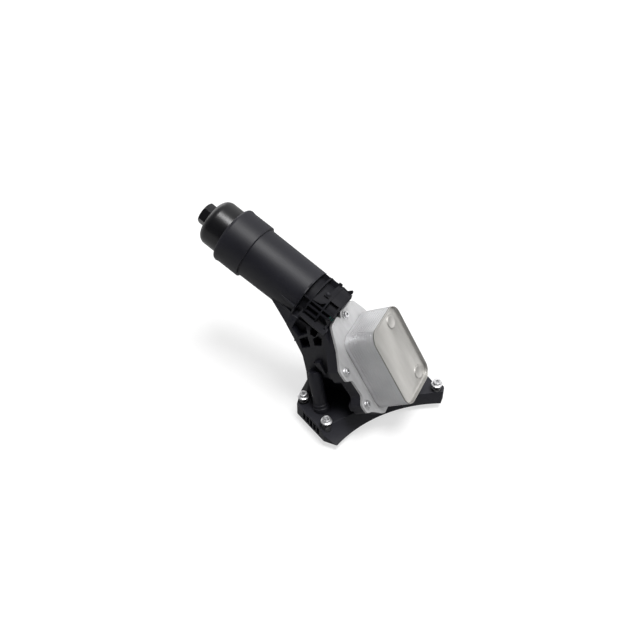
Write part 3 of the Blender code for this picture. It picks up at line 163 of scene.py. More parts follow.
# Facet by the plug: angle in degrees, distance along the bowl in mm
FACET_POINTS = ((48.0, -17.0), (86.0, -24.5), (84.0, -38.0), (64.0, -42.0), (52.0, -33.0))
PLUG_ANGLE = 76.5
PLUG_PLACE = -32.5 * MM
PLUG_SIZE = 8.0 * MM
PLUG_TOP = BARREL_RIB_RADIUS + 1.5 * MM
PLUG_DOME_RADIUS = 3.4 * MM
EAR_ANGLE = 129.0
EAR_WIDTH = 4.0 * MM
# Ear at the foot of the barrel: reach beyond the ribs, distance along the bowl
EAR_OUTLINE = in_mm(((-9.0, -48.0), (-1.2, -48.0), (5.0, -54.0), (4.2, -56.0), (-2.5, -60.0), (-9.0, -62.0)))
NUB_OUTLINE = in_mm(((-4.0, -31.5), (2.6, -31.5), (2.6, -37.5), (-4.0, -37.5)))
TUBE_GUSSET_ANGLE = 13.0
TUBE_GUSSET_LENGTH = 24.0 * MM

# Fairing between the trunk's upper corner and the side of the tube
FAIRING_LENGTH = 40.0 * MM
FAIRING_TUBE_ANGLES = (-62.0, -36.0, -18.0)
FAIRING_RIM_ANGLES = (-88.0, -60.0, -30.0, -5.0)
FAIRING_ROOT = in_mm(((-57.0, 5.0, 171.0), (-57.0, 48.0, 166.0), (-40.0, 5.0, 150.0), (-30.0, 40.0, 168.0)))

# Screw cap, by distances along the bowl
CAP_DOME_STEP = 2.5 * MM
CAP_DOME_RADIUS = THREAD_BORE_RADIUS - CAP_DOME_STEP
CAP_DOME_TOP = 188.5 * MM
CAP_DOME_ROUND = 14.0 * MM
CAP_WALL = 3.5 * MM
CAP_FLANGE_TOP = 149.4 * MM
CAP_THREAD_LOW = 132.0 * MM
CAP_SKIRT_LOW = 112.0 * MM
CAP_SKIRT_WALL = 4.6 * MM
CAP_GROOVE_LOW = 117.0 * MM
CAP_HEX_ACROSS_FLATS = 32.0 * MM
CAP_HEX_HEIGHT = 16.0 * MM
CAP_HEX_CHAMFER = 1.2 * MM
HEXAGON_TURN = -20.0
O_RING_RADIUS = 0.95 * MM
VALVE_SOCKET_DEPTH = 10.0 * MM

# Standpipe
STANDPIPE_RADIUS = 9.0 * MM
STANDPIPE_WALL = 2.0 * MM
STANDPIPE_FOOT = -12.0 * MM

# Bypass valve, in the dome of the cap
VALVE_RADIUS = 13.0 * MM
VALVE_LENGTH = 24.0 * MM
POPPET_THICKNESS = 2.5 * MM
SPRING_RADIUS = 5.4 * MM
SPRING_WIRE = 0.7 * MM
SPRING_TURNS = 4

# Cooler pad: the plane slopes, and its long side runs down
PAD_ORIGIN = (66.9 * MM, 51.9 * MM, 94.2 * MM)
PAD_RISE = math.radians(32.0)
PAD_THICKNESS = 18.0 * MM
BASE_PLATE_THICKNESS = 4.0 * MM
PAD_FACE = -BASE_PLATE_THICKNESS - SEAT
BASE_PLATE_OUTLINE = in_mm((
    (-104.0, -36.0, 9.0), (-104.0, -14.0, 7.0), (-95.0, -8.5, 2.0), (-103.0, -3.0, 7.0),
    (-93.0, 38.0, 9.0), (-62.0, 52.0, 10.0), (-50.0, 52.0, 8.0), (-44.0, 70.0, 8.0),
    (-27.0, 70.0, 8.0), (-20.0, 56.0, 8.0), (16.0, 56.0, 8.0), (22.0, 70.0, 8.0),
    (39.0, 70.0, 8.0), (50.0, 54.0, 8.0), (74.5, 46.0, 10.0), (74.5, -44.0, 10.0),
    (50.0, -64.0, 8.0), (40.0, -77.0, 9.0), (24.0, -77.0, 8.0), (15.0, -64.0, 8.0),
    (-18.0, -64.0, 8.0), (-26.0, -76.0, 8.0), (-47.0, -76.0, 9.0), (-70.0, -55.0, 20.0),
))

# Plate stack on the pad
STACK_PLACE = (0.0, 1.6 * MM)
STACK_TURN = -5.4
STACK_LENGTH = 139.5 * MM
STACK_WIDTH = 93.5 * MM
STACK_CORNER_RADIUS = 20.0 * MM
PLATE_COUNT = 11
PLATE_PITCH = 4.45 * MM
PLATE_GAUGE = 0.6 * MM
PLATE_RIM_HEIGHT = 8.0 * MM
PLATE_RIM_FLARE = 0.21
COVER_GAUGE = 0.9 * MM
COVER_RIM_HEIGHT = 6.0 * MM
COOLER_PORT_RADIUS = 8.0 * MM
COOLER_PORTS = in_mm(((-44.0, -20.0), (44.0, -4.0), (44.0, 26.0), (-44.0, 22.0)))
EMBOSSING_RADIUS = 12.0 * MM
EMBOSSING_HEIGHT = 1.6 * MM
EMBOSSING_PLACES = in_mm(((-49.0, 21.0), (51.0, 22.5)))

# Cooler screws on the pad
SCREW_PLACES = in_mm(((-92.0, 4.0), (-37.0, -65.5), (31.0, -67.0), (30.5, 61.0), (-35.5, 61.0)))
SCREW_SHANK_RADIUS = 3.0 * MM
SCREW_LENGTH = 18.0 * MM
SCREW_FLANGE_RADIUS = 7.0 * MM
SCREW_HEAD_RADIUS = 5.2 * MM
SCREW_HEAD_HEIGHT = 4.6 * MM
SCREW_RECESS_RADIUS = 2.9 * MM
SCREW_TURN = 0.7
SCREW_BOSS_RADIUS = 8.0 * MM
SCREW_BOSS_LENGTH = 24.0 * MM

# Gasket between housing and cooler
GASKET_THICKNESS = 2.0 * MM
GASKET_LAND = 4.0 * MM
GASKET_BAR_WIDTH = 4.0 * MM
GASKET_TAB_END = -112.0 * MM
GASKET_TAB_Y = -21.0 * MM

# Trunk between the flange and the bowl, from the side: X, Z, corner radius
TRUNK_OUTLINE = in_mm((
    (-27.0, 10.0, 0.0), (-22.5, 48.0, 30.0), (-25.0, 80.0, 30.0), (-31.0, 114.0, 30.0),
    (-43.5, 143.0, 30.0), (-57.0, 172.0, 3.0), (-52.0, 188.0, 0.0), (6.0, 171.0, 0.0),
    (90.0, 34.0, 0.0), (82.0, 10.0, 0.0),
))
TRUNK_NEAR_Y = 4.0 * MM
TRUNK_FAR_Y = 96.0 * MM
TRUNK_ROOF_LOW_Z = 172.0 * MM
TRUNK_ROOF_RUN = 14.0 * MM
RECESS_OUTLINE = in_mm(((-12.0, -20.0), (160.0, -20.0), (160.0, 112.0), (-2.0, 76.0), (-12.0, 76.0)))
RECESS_FAR_Y = 34.0 * MM
NEAR_POCKETS = (
    ((-48.0, 168.0), (-41.0, 184.0), (-25.0, 177.0), (-22.0, 165.0), (-37.0, 152.5)),
    ((-36.0, 148.0), (-22.0, 159.0), (-17.5, 137.0), (-31.5, 129.5)),
    ((-18.0, 180.0), (-5.0, 173.0), (-10.0, 161.0), (-18.0, 165.0)),
    ((-13.5, 157.0), (-4.0, 167.0), (1.0, 163.0), (1.0, 147.0), (-10.5, 142.5)),
    ((-9.0, 112.0), (-3.0, 110.0), (6.0, 92.0), (-8.0, 92.0), (-12.0, 103.0)),
)
# Small tabs on the back edge, by X and Z of a corner
TRUNK_TABS = in_mm(((-55.5, 168.0), (-44.5, 139.5)))
TAB_SIZE = 4.0 * MM
NEAR_POCKET_DEPTH = 13.0 * MM
FAR_POCKETS = (
    ((24.0, 30.0), (50.0, 30.0), (48.0, 84.0), (24.0, 100.0)),
    ((-20.0, 30.0), (-2.0, 30.0), (-2.0, 112.0), (-22.0, 112.0), (-18.5, 60.0)),
)
FAR_POCKET_DEPTH = 38.0 * MM
WEDGE_FIN = in_mm(((-9.0, 110.0), (-7.0, 113.0), (0.0, 116.0), (11.0, 94.0), (8.0, 92.0)))

# Riser column on the flange
COLUMN_FOOT, COLUMN_HEAD = in_mm(((8.0, -12.5, 20.0), (-10.5, 0.0, 90.0)))
COLUMN_RADIUS = 11.0 * MM
COLUMN_FOOT_RADIUS = 13.5 * MM
RISER_RADIUS = 6.0 * MM

# Oil and water ways inside the moulding
FEED_TURN = (-4.0 * MM, 26.0 * MM, 84.0 * MM)
FEED_INLET = (24.0 * MM, 6.0 * MM, BOWL_FLOOR + 2.0 * MM)
GALLERY_RADIUS = 6.5 * MM
GALLERY_DEPTH = 22.0 * MM
GALLERY_START = 2 * STANDPIPE_FOOT - 20.0 * MM
COOLER_PORT_DEPTHS = (24.0 * MM, 32.0 * MM, 32.0 * MM, 37.0 * MM)
# Rises of the oil return, coolant out and coolant in
PORT_RISES = (42.0 * MM, 42.0 * MM, 114.0 * MM)

# Fineness of round forms, and widths of rounded edges
ROUND_SEGMENTS = 112
SMALL_SEGMENTS = 32
CORNER_STEPS = 8
STACK_CORNER_STEPS = 12
SHARP_ANGLE = math.radians(35.0)
FLANGE_EDGE = 1.2 * MM
MOULDED_EDGE = 1.0 * MM
PLATE_EDGE = 0.5 * MM


def frame_from(origin, x_axis, y_axis, z_axis):
    return at(*origin) @ Matrix((x_axis, y_axis, z_axis)).transposed().to_4x4()


def bowl_frame():
    """Local Z runs up the bowl to the cap, and local Y is its upper side."""
    rise, turn = BOWL_RISE, BOWL_TURN
    axis = Vector((math.cos(rise) * math.cos(turn), math.cos(rise) * math.sin(turn), math.sin(rise)))
    upper = Vector((-math.sin(rise) * math.cos(turn), -math.sin(rise) * math.sin(turn), math.cos(rise)))
    return frame_from(RIDGE_CENTRE, upper.cross(axis), upper, axis)


def pad_frame():
    """Local Z points out of the pad, and local X runs down its long side."""
    normal = Vector((math.cos(PAD_RISE), 0.0, math.sin(PAD_RISE)))
    down = Vector((math.sin(PAD_RISE), 0.0, -math.cos(PAD_RISE)))
    return frame_from(PAD_ORIGIN, down, normal.cross(down), normal)


def frame_along(start, end):
    """Local Z runs from start to end."""
    direction = Vector(end) - Vector(start)
    return at(*start) @ direction.to_track_quat("Z", "Y").to_matrix().to_4x4()


def at(x, y, z=0.0):
    return Matrix.Translation((x, y, z))


def spin(degrees, axis="Z"):
    return Matrix.Rotation(math.radians(degrees), 4, axis)


WORLD = Matrix.Identity(4)
BOWL = bowl_frame()
PAD = pad_frame()
STACK = PAD @ at(*STACK_PLACE) @ spin(STACK_TURN)
# Outlines drawn from the side and from the front: local Y is Z, and local Z is -Y or X
X_AXIS, Y_AXIS, Z_AXIS = Vector((1, 0, 0)), Vector((0, 1, 0)), Vector((0, 0, 1))
SIDE = frame_from((0.0, 0.0, 0.0), X_AXIS, Z_AXIS, -Y_AXIS)
ACROSS = frame_from((0.0, 0.0, 0.0), Y_AXIS, Z_AXIS, X_AXIS)


# Meshes

def configure(item, **settings):
    for key, value in settings.items():
        setattr(item, key, value)
    return item


def placed(name, data, frame=WORLD):
    item = bpy.data.objects.new(name, data)
    item.matrix_world = frame
    SCENE.collection.objects.link(item)
    return item


def result_of(item, *tools):
    """The finished mesh of an object; it and the objects that only shape it are taken away."""
    bpy.context.view_layer.update()
    evaluated = item.evaluated_get(bpy.context.evaluated_depsgraph_get())
    mesh = bpy.data.meshes.new_from_object(evaluated)
    for used in (item, *tools):
        bpy.data.objects.remove(used, do_unlink=True)
    return mesh


def modified(mesh, kind, *tools, **settings):
    """The mesh after one modifier."""
    body = placed("body", mesh)
    configure(body.modifiers.new(kind.lower(), kind), **settings)
    return result_of(body, *tools)


def reworked(mesh, work):
    """The mesh, after a function has worked on its points and faces."""
    shape = bmesh.new()
    shape.from_mesh(mesh)
    work(shape)
    shape.to_mesh(mesh)
    shape.free()
    return mesh


def mesh_from(build):
    return reworked(bpy.data.meshes.new("solid"), build)


def box_mesh(low, high):
    low, high = Vector(low), Vector(high)

    def build(shape):
        bmesh.ops.create_cube(shape, size=1.0)
        bmesh.ops.scale(shape, vec=high - low, verts=shape.verts)
        bmesh.ops.translate(shape, vec=(low + high) / 2, verts=shape.verts)

    return mesh_from(build)


def cylinder_mesh(radius, low, high, place=(0.0, 0.0), segments=SMALL_SEGMENTS, top_radius=None):
    def build(shape):
        bmesh.ops.create_cone(shape, cap_ends=True, segments=segments, radius1=radius,
                              radius2=top_radius or radius, depth=high - low)
        bmesh.ops.translate(shape, vec=(place[0], place[1], (low + high) / 2), verts=shape.verts)

    return mesh_from(build)


def round_corners(points):
    """Replace each corner (x, y, radius) of a closed outline with a curved run of points."""
    outline = []
    count = len(points)
    for index, (x, y, radius) in enumerate(points):
        here = Vector((x, y))
        before = Vector(points[index - 1][:2]) - here
        after = Vector(points[(index + 1) % count][:2]) - here
        if radius <= 0:
            outline.append(here)
            continue
        reach = min(radius / math.tan(before.angle(after) / 2), 0.46 * before.length, 0.46 * after.length)
        start = here + before.normalized() * reach
        end = here + after.normalized() * reach
        for step in range(CORNER_STEPS + 1):
            share = step / CORNER_STEPS
            outline.append(start.lerp(here, share).lerp(here.lerp(end, share), share))
    return outline


def curve_mesh(points, work, closed=False, **settings):
    """The mesh of a curve through the points, after a function has worked on it."""
    curve = configure(bpy.data.curves.new("curve", "CURVE"), **settings)
    spline = curve.splines.new("POLY")
    spline.points.add(len(points) - 1)
    for point, place in zip(spline.points, points):
        point.co = (*place, 1.0)
    spline.use_cyclic_u = closed
    return reworked(result_of(placed("curve", curve)), work)


def outline_mesh(outline, low, high):
    """A flat outline, filled and given thickness from low to high along local Z."""
    def work(shape):
        bmesh.ops.remove_doubles(shape, verts=shape.verts, dist=1e-6)
        bmesh.ops.dissolve_limit(shape, angle_limit=1e-4, verts=shape.verts, edges=shape.edges)
        bmesh.ops.translate(shape, vec=(0, 0, (low + high) / 2), verts=shape.verts)
        bmesh.ops.recalc_face_normals(shape, faces=shape.faces)

    points = [(x, y, 0.0) for x, y in outline]
    return curve_mesh(points, work, closed=True, dimensions="2D", fill_mode="BOTH", extrude=(high - low) / 2)


def turned_mesh(profile, segments=ROUND_SEGMENTS):
    """A turned solid: (radius, height) points run down the outer side, then back up inside."""
    line = bpy.data.meshes.new("profile")
    edges = [(index, index + 1) for index in range(len(profile) - 1)]
    if profile[0][0] > 0 and profile[-1][0] > 0:
        edges.append((len(profile) - 1, 0))
    line.from_pydata([(radius, 0.0, height) for radius, height in profile], edges, [])
    return modified(line, "SCREW", steps=segments, render_steps=segments, use_merge_vertices=True,
                    merge_threshold=1e-6, use_smooth_shade=False)


def arc(centre, radius, start, end, steps):
    """Profile points on an arc, with angles in degrees."""
    points = []
    for step in range(steps + 1):
        angle = math.radians(start + (end - start) * step / steps)
        points.append((centre[0] + radius * math.cos(angle), centre[1] + radius * math.sin(angle)))
    return points


def loft_mesh(rings):
    """A closed solid through rings with the same number of points, capped at its first and last ring."""
    def build(shape):
        rows = [[shape.verts.new(point) for point in ring] for ring in rings]
        count = len(rows[0])
        for low, high in zip(rows, rows[1:]):
            for index in range(count):
                after = (index + 1) % count
                shape.faces.new((low[index], low[after], high[after], high[index]))
        shape.faces.new(reversed(rows[0]))
        shape.faces.new(rows[-1])

    return mesh_from(build)


def hull_mesh(points):
    def build(shape):
        for point in points:
            shape.verts.new(point)
        bmesh.ops.convex_hull(shape, input=shape.verts)

    return mesh_from(build)


# Boolean steps on one solid

def combined(mesh, tool_mesh, operation, frame=WORLD):
    """The mesh joined with, or cut by, a tool that stands in the given frame."""
    tool = placed("tool", tool_mesh, frame)
    return modified(mesh, "BOOLEAN", tool, operation=operation, object=tool, solver="EXACT")


def joined(mesh, tool_mesh, frame=WORLD):
    return combined(mesh, tool_mesh, "UNION", frame)


def cut(mesh, tool_mesh, frame=WORLD):
    return combined(mesh, tool_mesh, "DIFFERENCE", frame)


def drilled(mesh, places, radius, low, high, frame=WORLD, segments=SMALL_SEGMENTS):
    """The mesh with a round hole at each place."""
    for place in places:
        mesh = cut(mesh, cylinder_mesh(radius, low, high, place, segments), frame)
    return mesh


def cleaned(mesh):
    """Merge points that fall together and drop edges without length."""
    def work(shape):
        bmesh.ops.remove_doubles(shape, verts=shape.verts, dist=5e-6)
        bmesh.ops.dissolve_degenerate(shape, dist=5e-6, edges=shape.edges)

    return reworked(mesh, work)


def bevelled(mesh, width):
    """The mesh with its sharp edges rounded."""
    return modified(mesh, "BEVEL", width=width, segments=3, limit_method="ANGLE", angle_limit=SHARP_ANGLE)


# Housing: flange, column, trunk, pad and bowl in one moulding

def flange_mesh():
    first, _, ear, rear, left = BOLT_PLACES
    reach = FLANGE_EAR_RADIUS
    corners = [
        (FLANGE_LEFT_X, first[1] + 1.3 * reach, 6.0 * MM),
        (first[0] - 0.6 * reach, first[1] - 0.9 * reach, 6.0 * MM),
        (*TOE_CORNER, 1.0 * MM), (*TOE_NOSE, 4.0 * MM), (*FLANGE_FRONT_CORNER, 0.0),
        (ear[0] + reach, ear[1] - 1.4 * reach, 0.0), (ear[0] + reach, ear[1] + reach, 10.0 * MM),
        (ear[0] - 0.8 * reach, ear[1] + 1.05 * reach, 8.0 * MM),
        (rear[0] + 1.1 * reach, rear[1] + reach, 10.0 * MM),
        (rear[0] - 0.9 * reach, rear[1] + reach, 10.0 * MM),
        (left[0] + reach, left[1] + reach, 8.0 * MM), (left[0] - reach, left[1] + reach, 8.0 * MM),
        (FLANGE_LEFT_X, left[1] - reach, 6.0 * MM),
    ]
    mesh = outline_mesh(round_corners(corners), 0.0, FLANGE_THICKNESS)
    return bevelled(cut(mesh, front_arc_mesh()), FLANGE_EDGE)


def front_arc_mesh():
    """The leaning cone that clears the front of the flange, wider at its top face."""
    centre, top_centre = Vector(FRONT_ARC_CENTRE), Vector(FRONT_ARC_TOP_CENTRE)
    lean = (top_centre - centre) / FLANGE_THICKNESS
    growth = (FRONT_ARC_TOP_RADIUS - FRONT_ARC_RADIUS) / FLANGE_THICKNESS
    bottom, top = -0.2 * FLANGE_THICKNESS, 1.2 * FLANGE_THICKNESS
    low_radius, high_radius = FRONT_ARC_RADIUS + growth * bottom, FRONT_ARC_RADIUS + growth * top
    mesh = cylinder_mesh(low_radius, bottom, top, segments=256, top_radius=high_radius)
    for vertex in mesh.vertices:
        vertex.co.x += centre.x + lean.x * vertex.co.z
        vertex.co.y += centre.y + lean.y * vertex.co.z
    return mesh


def trunk_mesh():
    side = outline_mesh(round_corners(TRUNK_OUTLINE), -TRUNK_FAR_Y, -TRUNK_NEAR_Y)
    mesh = combined(box_mesh((-1, -1, -1), (1, 1, 1)), side, "INTERSECT", SIDE)
    near, far = TRUNK_NEAR_Y - TRUNK_ROOF_RUN, TRUNK_NEAR_Y + TRUNK_ROOF_RUN
    low, high = TRUNK_ROOF_LOW_Z - 2 * TRUNK_ROOF_RUN, TRUNK_ROOF_LOW_Z + 2 * TRUNK_ROOF_RUN
    mesh = cut(mesh, outline_mesh([(near, low), (far, high), (near, high)], -150 * MM, 150 * MM), ACROSS)
    mesh = cut(mesh, outline_mesh(RECESS_OUTLINE, -RECESS_FAR_Y, 100 * MM), SIDE)
    mesh = bevelled(mesh, MOULDED_EDGE)
    for pocket in FAR_POCKETS:
        tool = outline_mesh(in_mm(pocket), -TRUNK_FAR_Y - REACH, FAR_POCKET_DEPTH - TRUNK_FAR_Y)
        mesh = cut(mesh, tool, SIDE)
    return mesh


def column_mesh():
    """The leaning riser, stepped at its foot."""
    length, step = (Vector(COLUMN_HEAD) - Vector(COLUMN_FOOT)).length, COLUMN_RADIUS + 1.2 * MM
    return turned_mesh([
        (0.0, length), (COLUMN_RADIUS - 3.0 * MM, length), (COLUMN_RADIUS, length - 6.0 * MM),
        (COLUMN_RADIUS, 14.0 * MM), (step, 13.0 * MM), (step, 8.0 * MM),
        (COLUMN_FOOT_RADIUS, 7.0 * MM), (COLUMN_FOOT_RADIUS, -4.0 * MM), (0.0, -4.0 * MM),
    ], 64)


def bowl_mesh():
    """Outside of the bowl: rounded collar, tube, ridge and ribbed barrel."""
    core, rib = BARREL_CORE_RADIUS, BARREL_RIB_RADIUS
    ridge_high, ridge_low = RIDGE_PLACE + RIDGE_THICKNESS / 2, RIDGE_PLACE - RIDGE_THICKNESS / 2
    centre = (COLLAR_RADIUS - COLLAR_ROUND + 1 * MM, COLLAR_TOP - COLLAR_ROUND)
    profile = [
        (0.0, COLLAR_TOP), *reversed(arc(centre, COLLAR_ROUND, 0, 90, 12)),
        (COLLAR_RADIUS, COLLAR_TOP - 2 * COLLAR_ROUND), (COLLAR_RADIUS, COLLAR_LOW + 1.0 * MM),
        (COLLAR_RADIUS - 1.0 * MM, COLLAR_LOW), (TUBE_RADIUS_AT_COLLAR, COLLAR_LOW),
        (TUBE_RADIUS_AT_RIDGE, ridge_high), (RIDGE_RADIUS, ridge_high),
        (RIDGE_RADIUS, ridge_low), (core, ridge_low),
    ]
    for ring in BARREL_RINGS:
        high, low = ring + RIB_THICKNESS / 2, ring - RIB_THICKNESS / 2
        profile += [(core, high), (rib, high), (rib, low), (core, low)]
    foot = RIB_THICKNESS - BARREL_LENGTH
    return turned_mesh(profile + [(core, foot), (rib, foot), (rib, -BARREL_LENGTH), (0.0, -BARREL_LENGTH)])


def fade_ridge(mesh):
    """Let the ridge sink into the tube on its upper side."""
    low, high = RIDGE_PLACE - RIDGE_THICKNESS, RIDGE_PLACE + RIDGE_THICKNESS
    angle = math.radians(RIDGE_FADE_ANGLE)
    place = (RIDGE_FADE * math.cos(angle), RIDGE_FADE * math.sin(angle))
    outside = cylinder_mesh(RIDGE_RADIUS + REACH, low, high)
    inside = cylinder_mesh(TUBE_RADIUS_AT_RIDGE + 3.0 * MM, low - REACH, high + REACH, place)
    tube = cylinder_mesh(TUBE_RADIUS_AT_RIDGE + 0.15 * MM, low - REACH, high + REACH)
    return cut(mesh, cut(cut(outside, inside), tube))


def bowl_bore_mesh():
    """Inside of the bowl: thread bore, sealing bore, filter space and standpipe seat."""
    seat, seat_low = STANDPIPE_RADIUS + SEAT, STANDPIPE_FOOT - SEAT
    return turned_mesh([
        (0.0, COLLAR_TOP + REACH), (THREAD_BORE_RADIUS, COLLAR_TOP + REACH),
        (THREAD_BORE_RADIUS, THREAD_BORE_LOW), (SEAL_BORE_RADIUS, THREAD_BORE_LOW - BORE_STEP),
        (SEAL_BORE_RADIUS, SEAL_BORE_LOW), (BOWL_BORE_RADIUS, SEAL_BORE_LOW - BORE_STEP),
        (BOWL_BORE_RADIUS, BOWL_FLOOR), (seat, BOWL_FLOOR), (seat, seat_low), (0.0, seat_low),
    ])


def bowl_point(radius, degrees, height):
    """A point on the bowl, by angle from its near side towards its upper side."""
    angle = math.radians(degrees)
    return BOWL @ Vector((radius * math.cos(angle), radius * math.sin(angle), height))


def fairing_mesh():
    """The web that carries the trunk's upper corner into the side of the tube."""
    skin, inside = TUBE_RADIUS_AT_RIDGE - 1.0 * MM, BOWL_BORE_RADIUS - REACH
    points = [bowl_point(skin, angle, FAIRING_LENGTH) for angle in FAIRING_TUBE_ANGLES]
    points += [bowl_point(inside, angle, 0.9 * FAIRING_LENGTH) for angle in FAIRING_TUBE_ANGLES[::2]]
    points += [bowl_point(RIDGE_RADIUS, angle, RIDGE_PLACE) for angle in FAIRING_RIM_ANGLES]
    points += [Vector(place) for place in FAIRING_ROOT]
    return hull_mesh(points)


def standing_plate(outline, thickness, angle):
    """A plate along the bowl, with its outline as reach beyond the ribs and distance along."""
    points = [(BARREL_RIB_RADIUS + reach, along) for reach, along in outline]
    return outline_mesh(points, -thickness / 2, thickness / 2), BOWL @ spin(angle) @ spin(90, "X")


def join_barrel_ribs(mesh):
    """Fins, shelf, shoulder, facet, plug, ear, nub and gusset of the ribbed barrel."""
    core, rib, half_rib = BARREL_CORE_RADIUS - 3 * MM, BARREL_RIB_RADIUS, RIB_THICKNESS / 2
    for angle, low, high in BARREL_FINS:
        fin = box_mesh((core, -half_rib, low * MM), (rib - 0.1 * MM, half_rib, high * MM))
        mesh = joined(mesh, fin, BOWL @ spin(angle))
    shelf, frame = standing_plate(SHELF_OUTLINE, RIB_THICKNESS, 0.0)
    mesh = joined(mesh, shelf, Matrix.Translation(BOWL.col[1].xyz * (SHELF_HEIGHT - half_rib)) @ frame)
    ends = (SHOULDER_LOW, SHOULDER_HIGH)
    shoulder = [bowl_point(rib - 1.0 * MM, angle, height) for angle in SHOULDER_ANGLES for height in ends]
    sides = (SHOULDER_ANGLES[0], SHOULDER_ANGLES[-1])
    shoulder += [bowl_point(core, angle, height) for angle in sides for height in ends]
    facet = [bowl_point(radius, angle, height * MM)
             for angle, height in FACET_POINTS for radius in (core, rib - 0.8 * MM)]
    for points in (shoulder, facet):
        mesh = joined(mesh, hull_mesh(points))
    half = PLUG_SIZE / 2
    plug = box_mesh((core, -half, PLUG_PLACE - half), (PLUG_TOP, half, PLUG_PLACE + half))
    mesh = joined(mesh, plug, BOWL @ spin(PLUG_ANGLE))
    dome = [(0.0, PLUG_DOME_RADIUS), *reversed(arc((0.0, 0.0), PLUG_DOME_RADIUS, 0, 80, 10))]
    dome += [(PLUG_DOME_RADIUS, -3 * MM), (0.0, -3 * MM)]
    outward = spin(PLUG_ANGLE) @ at(rib + 0.8 * MM, 0.0, PLUG_PLACE) @ spin(90, "Y")
    mesh = joined(mesh, turned_mesh(dome, 32), BOWL @ outward)
    for outline in (EAR_OUTLINE, NUB_OUTLINE):
        mesh = joined(mesh, *standing_plate(outline, EAR_WIDTH, EAR_ANGLE))
    low = TUBE_RADIUS_AT_RIDGE - 3.3 * MM
    side = ((low, RIDGE_PLACE), (RIDGE_RADIUS - 0.8 * MM, RIDGE_PLACE),
            (TUBE_RADIUS_AT_RIDGE + 0.4 * MM, TUBE_GUSSET_LENGTH), (low, TUBE_GUSSET_LENGTH))
    gusset = hull_mesh([(x, y, z) for y in (-half_rib, half_rib) for x, z in side])
    return joined(mesh, gusset, BOWL @ spin(TUBE_GUSSET_ANGLE))


def housing_mesh():
    mesh = joined(trunk_mesh(), fairing_mesh())
    mesh = joined(mesh, fade_ridge(bowl_mesh()), BOWL)
    mesh = join_barrel_ribs(mesh)
    for pocket in NEAR_POCKETS:
        tool = outline_mesh(in_mm(pocket), -TRUNK_NEAR_Y - NEAR_POCKET_DEPTH, REACH)
        mesh = cut(mesh, tool, SIDE)
    mesh = joined(mesh, outline_mesh(WEDGE_FIN, -TRUNK_NEAR_Y - 2 * MM, 3 * MM), SIDE)
    for x, z in TRUNK_TABS:
        low = Vector((x, TRUNK_NEAR_Y + 0.5 * MM, z))
        mesh = joined(mesh, box_mesh(low, low + Vector((2 * TAB_SIZE, TAB_SIZE, TAB_SIZE))))
    pad = outline_mesh(round_corners(BASE_PLATE_OUTLINE), PAD_FACE - PAD_THICKNESS, PAD_FACE + 3 * MM)
    mesh = joined(mesh, bevelled(pad, MOULDED_EDGE), PAD)
    for place in SCREW_PLACES:
        boss = cylinder_mesh(SCREW_BOSS_RADIUS, PAD_FACE - SCREW_BOSS_LENGTH, PAD_FACE - 1 * MM, place, 40)
        mesh = joined(mesh, boss, PAD)
    mesh = joined(mesh, flange_mesh())
    mesh = joined(mesh, column_mesh(), frame_along(COLUMN_FOOT, COLUMN_HEAD))
    mesh = cut(mesh, bowl_bore_mesh(), BOWL)
    return cleaned(cut_flange(cut_oilways(cut_pad(mesh))))


def cut_pad(mesh):
    """Level the pad, then sink the gasket seat and the screw holes into it."""
    clear = box_mesh((-118 * MM, -100 * MM, PAD_FACE), (90 * MM, 100 * MM, 120 * MM))
    mesh = cut(mesh, clear, PAD)
    mesh = cut(mesh, gasket_seat_mesh(PAD_FACE - GASKET_THICKNESS - SEAT, PAD_FACE + REACH), PAD)
    return drilled(mesh, SCREW_PLACES, SCREW_SHANK_RADIUS + SEAT, -SCREW_LENGTH - 2 * MM, REACH, PAD)


def passage(start, end, radius, before=0.0, after=0.0):
    """A drilled way from start to end, as a tool mesh and its frame."""
    length = (Vector(end) - Vector(start)).length
    return cylinder_mesh(radius, -before, length + after, segments=24), frame_along(start, end)


def cut_oilways(mesh):
    """Open the ways between engine face, bowl and cooler pad."""
    pad_points = [PAD @ Vector((x, y, PAD_FACE)) for x, y in COOLER_PORTS]
    inward = -Vector(PAD.col[2][:3])
    pipe_end = BOWL @ Vector((0.0, 0.0, STANDPIPE_FOOT + 4 * MM))
    gallery_start = BOWL @ Vector((0.0, 0.0, GALLERY_START))
    gallery_end = pad_points[0] + inward * GALLERY_DEPTH
    feed_foot = Vector((*ENGINE_PORTS[0][:2], 0.0))
    column_head = Vector(COLUMN_HEAD) - Vector((0, 0, RISER_RADIUS))
    feed_turn, feed_end = Vector(FEED_TURN), BOWL @ Vector(FEED_INLET)
    overlap = 2 * MM
    ways = [
        passage(feed_foot, feed_foot + Vector((0, 0, COLUMN_FOOT[2])), RISER_RADIUS, REACH),
        passage(COLUMN_FOOT, column_head, RISER_RADIUS, overlap, overlap),
        passage(column_head, feed_turn, RISER_RADIUS - 0.5 * MM, 0.0, 3 * MM),
        passage(feed_turn, feed_end, RISER_RADIUS - 1 * MM),
        passage(pipe_end, gallery_start, STANDPIPE_RADIUS - STANDPIPE_WALL, 0.0, overlap),
        passage(gallery_start, gallery_end, GALLERY_RADIUS, overlap, overlap),
    ]
    for point, depth in zip(pad_points, COOLER_PORT_DEPTHS):
        ways.append(passage(point, point + inward * depth, COOLER_PORT_RADIUS, REACH))
    for (x, y, radius), rise in zip(ENGINE_PORTS[1:], PORT_RISES):
        ways.append(passage((x, y, 0.0), (x, y, rise), radius, REACH))
    for tool, frame in ways:
        mesh = cut(mesh, tool, frame)
    return mesh


